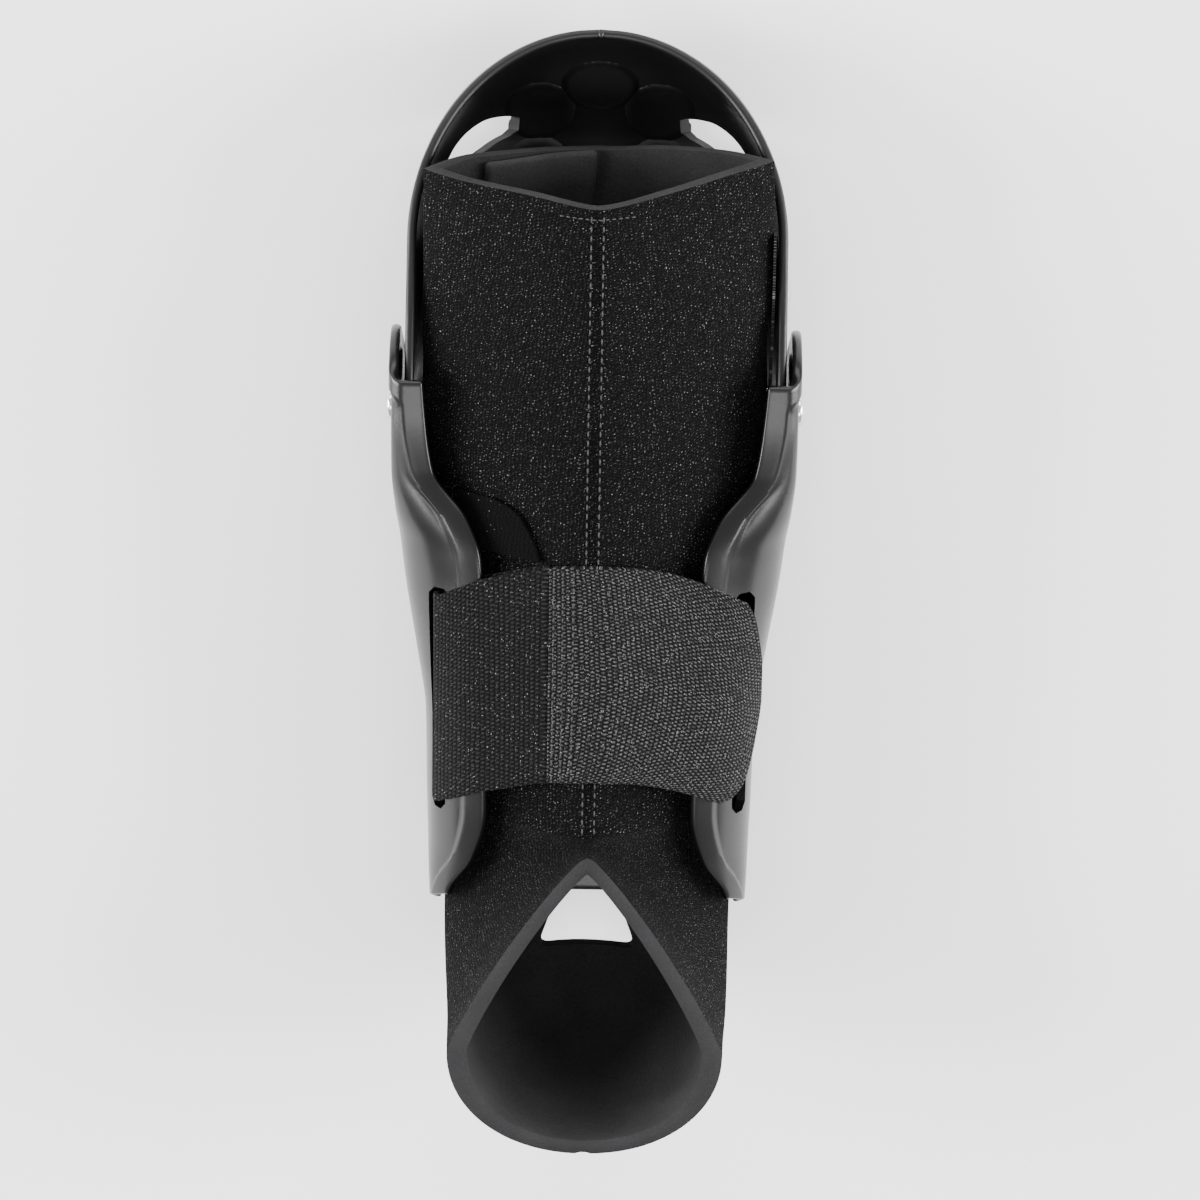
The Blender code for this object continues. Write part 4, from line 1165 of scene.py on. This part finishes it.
@dataclass
class Sleeve:
    """Knit-faced foam tube from the calf to the foot."""

    finishes: Finishes
    around: int = 250
    leg_rows: int = 120
    foot_rows: int = 70
    rim_rows: int = 5
    sharp_corner: float = 0.45
    seam_pitch: float = 0.0025
    seam_half: float = 0.0016
    edge_across: tuple[float, ...] = (-1.0, -0.77, -0.4, 0.0, 0.43, 0.77, 1.0)
    front_edge_lift: tuple[float, ...] = (-0.0002, -0.0012, -0.0019, -0.0034, -0.0008, 0.0019, 0.0034)
    back_edge_lift: tuple[float, ...] = (-0.0002, 0.0019, 0.0020, 0.0014, 0.0034, 0.0040, 0.0034)

    def leg_sizes(self, y: Array | float) -> dict[str, Array]:
        """The sizes at heights of the leg."""
        at = np.where(np.asarray(y) > 0, np.asarray(y) / SIZES.sleeve_top, np.asarray(y) / SIZES.instep_reach)
        read = {name: smooth_read(LEG["up"], LEG[name], at) for name in LEG if name != "up"}
        read["width"] = read["width"] * SIZES.sleeve_half_width
        for name in ("front", "back", "widest"):
            read[name] = read[name] * SIZES.sleeve_front
        return read

    def front_height(self, x: Array | float, y: Array | float) -> Array:
        """Height of the front surface at places on it."""
        leg = self.leg_sizes(y)
        share = np.minimum(np.abs(x) / leg["width"], 1.0)
        fall = (1 - share ** leg["ridge"]) ** (1 / leg["ridge"])
        return leg["widest"] + (leg["front"] - leg["widest"]) * fall

    def sharp_wall(self, wall: float, power: Array) -> Array:
        """A wall's reach at a corner, longer where the section comes to a point."""
        return wall * (1 + self.sharp_corner * np.maximum(2 - power, 0))

    @staticmethod
    def ring(angle: Array, sizes: dict[str, Array]) -> tuple[Array, Array]:
        """Closed section: x and depth at angles from the front ridge."""
        swing, reach = np.sin(angle), np.cos(angle)
        power = 2.0 / np.where(reach > 0, sizes["ridge"], sizes["round"])
        x = sizes["half"] * np.sign(swing) * np.abs(swing) ** power
        room = np.where(reach > 0, sizes["widest"] - sizes["near"], sizes["far"] - sizes["widest"])
        return x, sizes["widest"] - np.sign(reach) * np.abs(reach) ** power * room

    def leg_points(self, angle: Array, y: Array, wall: float) -> Array:
        """Points down the leg, a wall inside the outer face."""
        leg = self.leg_sizes(y)
        corner = np.minimum(leg["ridge"], leg["round"])
        sizes = {
            "half": leg["width"] - self.sharp_wall(wall, corner),
            "near": -leg["front"] + self.sharp_wall(wall, leg["ridge"]),
            "far": leg["back"] - self.sharp_wall(wall, leg["round"]),
            "widest": -leg["widest"],
            "ridge": leg["ridge"],
            "round": leg["round"],
        }
        x, depth = self.ring(angle, sizes)
        return np.stack([x, y * np.ones_like(x), -depth], -1)

    def foot_points(self, angle: Array, turn: Array, wall: float) -> Array:
        """Points round the heel, a wall inside the outer face."""
        foot = {name: smooth_read(FOOT["turn"], FOOT[name], turn) for name in FOOT if name != "turn"}
        depth = foot["depth"] * SIZES.foot_depth
        sizes = {
            "half": foot["width"] * SIZES.sleeve_half_width - self.sharp_wall(wall, foot["ridge"]),
            "near": SIZES.instep_radius + self.sharp_wall(wall, foot["ridge"]),
            "far": SIZES.instep_radius + depth - wall,
            "widest": SIZES.instep_radius + foot["widest"] * depth,
            "ridge": foot["ridge"],
            "round": foot["round"],
        }
        x, reach = self.ring(angle, sizes)
        swing = np.radians(turn)
        pivot = SIZES.sleeve_front + SIZES.instep_radius
        return np.stack(
            [x, -SIZES.instep_reach - reach * np.sin(swing), pivot - reach * np.cos(swing)], -1
        )

    def skin(self, wall: float) -> tuple[Array, Array]:
        """One face of the tube as a grid of points, with its cloth coordinates."""
        share = np.linspace(0, 1, self.around)
        even = share + 0.012 * np.sin(4 * math.tau * share)
        angle = math.tau * even
        levels = np.linspace(SIZES.sleeve_top, -SIZES.instep_reach * 0.92, self.leg_rows)[:, None]
        turns = np.linspace(0, 90.0, self.foot_rows)[:, None]
        leg = self.leg_points(angle * np.ones_like(levels), levels * np.ones_like(angle), wall)
        foot = self.foot_points(angle * np.ones_like(turns), turns * np.ones_like(angle), wall)
        across = leg[..., 0] / np.abs(leg[0, :, 0]).max()
        lifts = [
            smooth_read(self.edge_across, table, across)
            for table in (self.front_edge_lift, self.back_edge_lift)
        ]
        hold = ease(0.25 * SIZES.sleeve_top, SIZES.sleeve_top, leg[..., 1])
        leg[..., 1] += hold * np.where(np.cos(angle) > 0, lifts[0], lifts[1])
        points = np.concatenate([leg, foot])
        step = np.linalg.norm(np.diff(points, axis=1), axis=2)
        run = np.concatenate([np.zeros((len(points), 1)), np.cumsum(step, axis=1)], axis=1)
        run -= run[:, [-1]] / 2
        back = self.around // 2
        down = line_length(points[:, back - self.around // 4])[:, None] * np.ones_like(angle)
        return points, np.stack([run, down], 2) * 10

    def soft_waves(self, points: Array) -> Array:
        """Small hollows and folds that a worn tube keeps, as heights."""
        x, y, z = points[..., 0], points[..., 1], points[..., 2]
        broad = np.sin(y * 95 + 1.7 * np.sin(x * 70)) * np.sin(x * 85 + 0.6)
        small = np.sin(y * 260 + x * 120 + 2.0 * np.sin(z * 90))
        instep = np.exp(-(((y + 0.104) / 0.012) ** 2)) * np.sin(np.abs(x) * 300 + y * 240)
        return 0.00045 * broad + 0.00012 * small + 0.00030 * instep * (z > 0)

    def build(self) -> bpy.types.Object:
        """Build the sleeve and return it."""
        outer, outer_uv = self.skin(0.0)
        inner, inner_uv = self.skin(SIZES.sleeve_wall)
        normals = surface_normals(outer)
        waves = self.soft_waves(outer)[..., None] * normals
        edge_hold = np.minimum(np.arange(len(outer)), np.arange(len(outer))[::-1])[:, None, None] / 6.0
        waves *= np.clip(edge_hold, 0, 1)
        seam = np.exp(-((outer[..., 0] / 0.0011) ** 2)) * (outer[..., 2] > 0.02)
        outer = outer + waves - (0.0007 * seam[..., None]) * normals
        inner = inner + waves
        blend = np.linspace(0, 1, self.rim_rows + 2)[1:-1]
        swell = 0.0006 * np.sin(np.pi * blend)
        foot_out = outer[-1] - outer[-2]
        foot_out /= np.linalg.norm(foot_out, axis=1, keepdims=True)
        foot_rim = np.stack([outer[-1] * (1 - b) + inner[-1] * b + foot_out * s for b, s in zip(blend, swell)])
        top_out = np.array([0.0, 1.0, 0.0])
        top_rim = np.stack([inner[0] * (1 - b) + outer[0] * b + top_out * s for b, s in zip(blend, swell)])
        points = np.concatenate([outer, foot_rim, inner[::-1], top_rim, outer[:1]])
        rim_uv = np.repeat(outer_uv[-1:], self.rim_rows, axis=0)
        top_uv = np.repeat(outer_uv[:1], self.rim_rows, axis=0)
        uvs = np.concatenate([outer_uv, rim_uv, inner_uv[::-1], top_uv, outer_uv[:1]])
        grid = Grid(points, uvs, closed=False)
        count = len(outer)
        slots = [0] * (count - 1) + [1] * (self.rim_rows + 1) + [2] * (count - 1) + [1] * (self.rim_rows + 1)
        grid.paint_rows(slots)
        bmesh.ops.remove_doubles(grid.bm, verts=grid.bm.verts, dist=1e-6)
        bmesh.ops.recalc_face_normals(grid.bm, faces=grid.bm.faces)
        sleeve = make_piece("sleeve_tube", grid.bm, [self.finishes.knit, self.finishes.foam, self.finishes.pile])
        cut_with(sleeve, [self.heel_cutter()], solver="EXACT")
        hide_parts("sleeve")
        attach(sleeve, Body.GUARD.value)
        return sleeve

    def build_flap(self) -> bpy.types.Object:
        """Build the overlapping end that lies inside the back of the tube and return it."""
        inner, uvs = self.skin(SIZES.sleeve_wall + SIZES.seat_gap)
        middle = self.around // 2
        columns = slice(middle + round(0.02 * self.around), middle + round(0.17 * self.around))
        part = inner[: self.leg_rows // 2, columns]
        drop = ease(part[0, 0, 0], part[0, -1, 0], part[..., 0])
        fade = np.linspace(1, 0, len(part))[:, None]
        part[..., 1] -= (0.0006 + 0.0016 * drop) * fade
        rows = thick_rows(part, 0.7 * SIZES.sleeve_wall, 0.0011)
        grid = Grid(rows, rows[..., :2] * 10, closed=True)
        bmesh.ops.recalc_face_normals(grid.bm, faces=grid.bm.faces)
        flap = make_piece("sleeve_flap", grid.bm, [self.finishes.pile])
        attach(flap, Body.GUARD.value)
        return flap

    @staticmethod
    def heel_cutter() -> bmesh.types.BMesh:
        """Closed shape of the hole over the heel."""
        low, height, half = -0.1625, 0.0220, 0.0140
        corners = [(-half, low), (half, low), (half * 0.3, low + height), (-half * 0.3, low + height)]
        outline = round_outline(corners, 0.0037)
        return prism(outline, -1.4 * SIZES.pivot_height, -SIZES.pivot_height / 3, Matrix.Identity(4))

    def seam_stitches(self) -> list[Stitch]:
        """Two columns of stitches down the front seam."""
        stitches = []
        for y in np.arange(SIZES.sleeve_top - 0.006, -SIZES.instep_reach, -self.seam_pitch):
            for x in (-self.seam_half, self.seam_half):
                ends = []
                for offset in (-0.36, 0.36):
                    at_y = float(y) + offset * self.seam_pitch
                    ends.append(Vector((x, at_y, float(self.front_height(x, at_y)) + 0.0001)))
                stitches.append(Stitch(*ends))
        return stitches

    def tack_stitches(self) -> list[Stitch]:
        """A short row across the seam near the top."""
        stitches = []
        for x in np.arange(-0.0094, 0.0094, 0.0017):
            ends = [
                Vector((x + d, 0.0595, float(self.front_height(x + d, 0.0595)) + 0.0001))
                for d in (-0.0006, 0.0006)
            ]
            stitches.append(Stitch(*ends))
        return stitches


@dataclass
class Strap:
    """Ribbed closure strap and the woven elastic that it is sewn to."""

    finishes: Finishes
    shell: LowerShell
    sleeve: Sleeve
    end_across: tuple[float, ...] = (-1.0, -0.9, -0.7, -0.4, 0.0, 0.3, 0.6, 0.85, 1.0)
    end_reach: tuple[float, ...] = (
        0.0350, 0.0385, 0.0418, 0.0440, 0.0455, 0.0455, 0.0446, 0.0432, 0.0412
    )
    end_height: float = 0.0050

    def strap_y(self, x: Array | float, offset: float) -> Array:
        """Where along the leg the strap runs."""
        share = np.minimum(np.abs(x) / SIZES.slot_spread, 1.0)
        return -SIZES.strap_reach - SIZES.strap_drop * share**2 + offset

    @staticmethod
    def offset_line(line: Array, distance: float) -> Array:
        """A section line moved away from the leg."""
        run = np.gradient(line, axis=0)
        run /= np.linalg.norm(run, axis=1, keepdims=True)
        return line + distance * np.stack([run[:, 1], -run[:, 0]], 1)

    def course(self, y: float, lift: float) -> Array:
        """The strap's course over the seam and down a wing at one height."""
        wing = self.offset_line(self.shell.section(y), lift)[::-1]
        wing = wing[wing[:, 1] > self.end_height]
        ridge = float(self.sleeve.leg_sizes(y)["front"]) + lift
        shoulder = (0.12 * wing[0, 0], ridge - 0.03 * (ridge - wing[0, 1]))
        return np.concatenate([[(0.0, ridge), shoulder], wing])

    def point(self, x: float, offset: float, lift: float) -> tuple[float, float, float]:
        """A point of the strap between its slots."""
        y = float(self.strap_y(x, offset))
        line = self.course(y, lift)
        front = line[line[:, 0] <= SIZES.slot_spread * 1.12]
        rising = np.maximum.accumulate(front[:, 0])
        return x, y, float(np.interp(abs(x), rising, front[:, 1]))

    def strap_points(self) -> Array:
        """Middle surface of the ribbed strap."""
        lift = SIZES.seat_gap + SIZES.strap_wall / 2
        join = SIZES.slot_spread - SIZES.loop_length
        rows = []
        for across in np.linspace(-1, 1, 61):
            offset = across * SIZES.strap_width / 2
            reach = float(smooth_read(self.end_across, self.end_reach, across))
            share = np.linspace(0, 1, 240)
            line = np.array([self.point(float(x), offset, lift) for x in reach * share + join * (share - 1)])
            rows.append(along(line, np.linspace(0, 1, 90)))
        points = np.array(rows)
        points[..., 2] -= 0.0009 * ease(0.006, 0.0, np.abs(points[..., 0]))
        return points

    @staticmethod
    def cloth_uv(points: Array) -> Array:
        """Cloth coordinates of a strap surface: along it and across it."""
        step = np.linalg.norm(np.diff(points, axis=1), axis=2).mean(axis=0)
        run = np.concatenate([[0.0], np.cumsum(step)])
        rise = np.linalg.norm(np.diff(points, axis=0), axis=2).mean(axis=1)
        across = np.concatenate([[0.0], np.cumsum(rise)])
        u, v = np.meshgrid(run, across)
        return np.stack([u, v], 2) * 10

    def build_strap(self) -> bpy.types.Object:
        """Build the ribbed strap and return it."""
        points = self.strap_points()
        grid = Grid(points, self.cloth_uv(points))
        grid.face_away()
        strap = make_piece("closure_strap", grid.bm, [self.finishes.strap])
        add_wall(strap, SIZES.strap_wall * 0.92, 0.0)
        round_edges(strap, 0.0006)
        settle(strap, 60.0)
        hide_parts("strap")
        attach(strap, Body.GUARD.value)
        length = float(line_length(points[30])[-1])
        return strap

    @staticmethod
    def middle_area(points: Array) -> float:
        """Area of a grid of points."""
        side_u = np.diff(points, axis=1)[:-1]
        side_v = np.diff(points, axis=0)[:, :-1]
        return float(np.linalg.norm(np.cross(side_u, side_v), axis=2).sum())

    def loop_course(self, offset: float) -> Array:
        """Middle line of the elastic round the wing's front bar, as a closed ring."""
        lift = SIZES.seat_gap + SIZES.loop_wall / 2
        join = SIZES.slot_spread - SIZES.loop_length + SIZES.seat_gap + SIZES.loop_wall / 2
        turn_start = SIZES.slot_spread - 0.1 * SIZES.slot_width
        over: list[tuple[float, float, float]] = []
        under: list[tuple[float, float, float]] = []
        for share in np.linspace(1, 0, 16):
            y = float(self.strap_y(SIZES.slot_spread, offset))
            for _ in range(3):
                section = self.shell.section(y)
                base = turn_start + (section[-1, 0] - turn_start) * (1 - share)
                y = float(self.strap_y(base, offset))
            front = section[:, 1] > 0
            at = section[front][::-1, 0]
            for places, distance in ((over, lift), (under, -(SIZES.shell_wall + lift))):
                moved = self.offset_line(section, distance)[front][::-1]
                x, z = (float(np.interp(base, at, moved[:, k])) for k in (0, 1))
                places.append((x, y, z))
        top = self.point(join, offset, lift)
        low = (join, top[1], top[2] - SIZES.loop_wall - 2 * SIZES.seat_gap)
        for places, last in ((over, top), (under, low)):
            start = np.array(places[-1])
            for share in np.linspace(0, 1, 22)[1:]:
                places.append(tuple(start + share * (np.array(last) - start)))
        first, last_point = np.array(under[0]), np.array(over[0])
        centre, half = (first + last_point) / 2, (last_point - first) / 2
        away = np.array([half[2], 0.0, -half[0]])
        away *= -1 if away[2] > 0 else 1
        swing = np.radians(np.linspace(15, 165, 9))
        turn = [centre - half * math.cos(a) + away * math.sin(a) for a in swing]
        return np.array(over[::-1] + [tuple(p) for p in turn[::-1]] + under)

    def build_loop(self) -> bpy.types.Object:
        """Build the woven elastic and return it."""
        rows = np.array([self.loop_course(a * SIZES.strap_width / 2) for a in np.linspace(-1, 1, 41)])
        rows = np.concatenate([rows, rows[:, :1]], axis=1)
        rows[..., 0] *= -1
        grid = Grid(rows, self.cloth_uv(rows), closed=True)
        bmesh.ops.recalc_face_normals(grid.bm, faces=grid.bm.faces)
        loop = make_piece("slot_elastic", grid.bm, [self.finishes.elastic])
        add_wall(loop, SIZES.loop_wall * 0.9, 0.0)
        round_edges(loop, 0.0004, 2)
        settle(loop, 60.0)
        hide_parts("strap_loop")
        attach(loop, Body.GUARD.value)
        length = float(line_length(rows[20])[-1])
        return loop

    def join_stitches(self) -> list[Stitch]:
        """Three rows of stitches through the join."""
        join = SIZES.slot_spread - SIZES.loop_length
        lift = SIZES.seat_gap + SIZES.strap_wall + 0.0001
        stitches = []
        for x in (-join + 0.0010, -join + 0.0034, -join + 0.0062):
            for offset in np.arange(-0.0285, 0.0285, 0.0021):
                ends = [Vector(self.point(x, float(offset) + d, lift)) for d in (-0.0007, 0.0007)]
                stitches.append(Stitch(*ends))
        return stitches


@dataclass
class Trim:
    """Patch and hook strip sewn on the sleeve."""

    finishes: Finishes
    sleeve: Sleeve
    patch_wall: float = 0.0010

    def build_patch(self) -> bpy.types.Object:
        """Build the rounded patch beside the left wing and return it."""
        down = np.linspace(0.310, 0.540, 40)[:, None]
        inner = smooth_read((0.310, 0.345, 0.410, 0.480, 0.540), (0.56, 0.44, 0.37, 0.32, 0.29), down)
        outer = smooth_read((0.310, 0.345, 0.410, 0.480, 0.540), (0.76, 0.78, 0.79, 0.79, 0.70), down)
        across = np.linspace(0, 1, 40)
        x = (inner + (outer - inner) * across) * SIZES.sleeve_half_width
        y = -down * SIZES.strap_reach * np.ones_like(x)
        z = self.sleeve.front_height(x, y) + 2 * SIZES.seat_gap
        points = np.stack([-x, y, z], 2)
        grid = Grid(points, points[..., :2] * 10)
        grid.face_away()
        patch = make_piece("sewn_patch", grid.bm, [self.finishes.patch])
        add_wall(patch, self.patch_wall * 0.9, 1.0)
        round_edges(patch, 0.0004, 2)
        settle(patch, 60.0)
        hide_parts("side_patch")
        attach(patch, Body.GUARD.value)
        wide = max(float(line_length(row)[-1]) for row in points)
        tall = max(float(line_length(points[:, k])[-1]) for k in range(points.shape[1]))
        area = Strap.middle_area(points)
        return patch

    def build_hook_strip(self) -> bpy.types.Object:
        """Build the rough strip down the right edge and return it."""
        y = np.linspace(0.0052, 0.0492, 90)[:, None]
        leg = self.sleeve.leg_sizes(y)
        side = np.linspace(-0.5, 0.5, 16)
        x = leg["width"] + SIZES.seat_gap + 0 * side
        z = leg["widest"] + side * 0.0070
        points = np.stack([x * np.ones_like(z), y * np.ones_like(z), z], 2)
        grid = Grid(points, points[..., 1:] * 10)
        grid.face_away()
        strip = make_piece("hook_edge", grid.bm, [self.finishes.hook])
        add_wall(strip, 0.0007, 1.0)
        settle(strip, 60.0)
        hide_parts("hook_strip")
        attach(strip, Body.GUARD.value)
        return strip


@dataclass
class Rivets:
    """Domed rivets through the ears and the cup's arms."""

    finishes: Finishes
    head_radius: float = 0.0044
    head_height: float = 0.0021
    shank_radius: float = 0.0022
    flange_wall: float = 0.0010

    def profile(self) -> list[tuple[float, float]]:
        """Half section from the crown down to the inner flange: radius and x."""
        seat = SIZES.ear_half_width + SIZES.seat_gap
        head = self.head_height - SIZES.seat_gap
        crown = [
            (self.head_radius * math.sin(a), seat + head * (0.25 + 0.75 * math.cos(a)))
            for a in np.linspace(0, math.pi / 2, 9)
        ]
        flange = SIZES.arm_half_width - SIZES.shell_wall - SIZES.seat_gap
        foot = 0.9 * self.head_radius
        return crown + [
            (self.head_radius, seat),
            (self.shank_radius, seat),
            (self.shank_radius, flange),
            (foot, flange),
            (foot, flange - self.flange_wall),
            (0.0, flange - self.flange_wall),
        ]

    def build(self, side: Side) -> bpy.types.Object:
        """Build one rivet and return it."""
        bm = bmesh.new()
        verts = [bm.verts.new((x, radius, 0)) for radius, x in self.profile()]
        edges = [bm.edges.new(pair) for pair in zip(verts, verts[1:])]
        bmesh.ops.spin(
            bm, geom=verts + edges, cent=(0, 0, 0), axis=(1, 0, 0), angle=math.tau, steps=40, use_merge=True
        )
        bmesh.ops.remove_doubles(bm, verts=bm.verts, dist=1e-6)
        if side is Side.LEFT:
            bmesh.ops.scale(bm, vec=(-1, 1, 1), verts=bm.verts)
        bmesh.ops.recalc_face_normals(bm, faces=bm.faces)
        name = f"rivet_head_{side.name.lower()}"
        rivet = make_piece(name, bm, [self.finishes.rivet])
        rivet.data.set_sharp_from_angle(angle=math.radians(35))
        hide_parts(f"rivet_{side.name.lower()}")
        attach(rivet, Body.GUARD.value)
        return rivet


@dataclass
class Studio:
    """Pale floor, soft lights and the photograph's view."""

    look_down: float = math.radians(16.0)
    roll: float = math.radians(0.95)
    distance: float = 1.6
    focal_share: float = 5946.0 / 1200.0
    target: tuple[float, float, float] = (0.0022, -0.0500, 0.0143)

    def build_camera(self) -> None:
        """Create the camera."""
        forward = Vector((0, -math.sin(self.look_down), -math.cos(self.look_down)))
        up = Vector((0, math.cos(self.look_down), -math.sin(self.look_down)))
        across = Vector((1, 0, 0))
        right = across * math.cos(self.roll) + up * math.sin(self.roll)
        top = up * math.cos(self.roll) - across * math.sin(self.roll)
        data = bpy.data.cameras.new("view")
        data.sensor_width = 36.0
        data.lens = 36.0 * self.focal_share
        data.clip_end = 20.0
        camera = bpy.data.objects.new("view", data)
        bpy.context.scene.collection.objects.link(camera)
        place = Vector(self.target) + SIZES.place - forward * self.distance
        turn = Matrix((right, top, -forward)).transposed().to_4x4()
        camera.matrix_world = Matrix.Translation(place) @ turn
        bpy.context.scene.camera = camera

    def add_light(self, name: str, place: Vector, aim: Vector, size: tuple[float, float], power: float) -> None:
        """Add a soft box that faces a point."""
        data = bpy.data.lights.new(name, "AREA")
        data.shape = "RECTANGLE"
        data.size, data.size_y = size
        data.energy = power
        light = bpy.data.objects.new(name, data)
        light.matrix_world = Matrix.Translation(place) @ (aim - place).to_track_quat("-Z", "Y").to_matrix().to_4x4()
        bpy.context.scene.collection.objects.link(light)

    def build(self) -> None:
        """Build the floor, lights, world and camera."""
        bm = bmesh.new()
        bmesh.ops.create_grid(bm, x_segments=1, y_segments=1, size=6.0)
        mesh = bpy.data.meshes.new("floor")
        bm.to_mesh(mesh)
        bm.free()
        floor = bpy.data.objects.new("floor", mesh)
        bpy.context.scene.collection.objects.link(floor)
        bench, shader, material = start_material("pale_floor")
        shader.inputs["Base Color"].default_value = (0.92, 0.92, 0.92, 1.0)
        shader.inputs["Roughness"].default_value = 0.9
        mesh.materials.append(material)
        world = bpy.data.worlds.new("studio")
        world.use_nodes = True
        world.node_tree.nodes["Background"].inputs["Color"].default_value = (1.0, 1.0, 1.0, 1.0)
        world.node_tree.nodes["Background"].inputs["Strength"].default_value = 0.78
        bpy.context.scene.world = world
        aim = Vector((0, 0, 0.03))
        self.add_light("left_box", Vector((-1.4, 0.1, 0.45)), aim, (0.7, 1.7), 88.0)
        self.add_light("right_box", Vector((1.4, 0.1, 0.45)), aim, (0.7, 1.7), 88.0)
        self.add_light("head_box", Vector((0.0, 1.6, 0.9)), aim, (1.6, 0.8), 24.0)
        self.add_light("foot_box", Vector((0.0, -0.42, 1.6)), aim, (0.9, 0.45), 13.0)
        self.build_camera()


def main() -> None:
    """Load the frame, then build and report every piece."""
    logging.basicConfig(level=logging.INFO, format="%(name)s: %(message)s")
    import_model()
    finishes = Finishes()
    Studio().build()
    shell, cup, sleeve = LowerShell(finishes), CalfCup(finishes), Sleeve(finishes)
    strap = Strap(finishes, shell, sleeve)
    trim = Trim(finishes, sleeve)
    pieces = [shell.build(), cup.build(), sleeve.build(), sleeve.build_flap()]
    pieces += [strap.build_strap(), strap.build_loop()]
    pieces += [trim.build_patch(), trim.build_hook_strip()]
    pieces += [Rivets(finishes).build(side) for side in Side]
    pieces.append(sew("seam_thread", sleeve.seam_stitches(), 0.0005, finishes.thread))
    pieces.append(sew("tack_thread", sleeve.tack_stitches(), 0.0005, finishes.thread))
    pieces.append(sew("join_thread", strap.join_stitches(), 0.0006, finishes.thread))
    for piece in pieces:
        LOG.info("%s: %d faces", piece.name, len(piece.data.polygons))


if __name__ == "__main__":
    main()
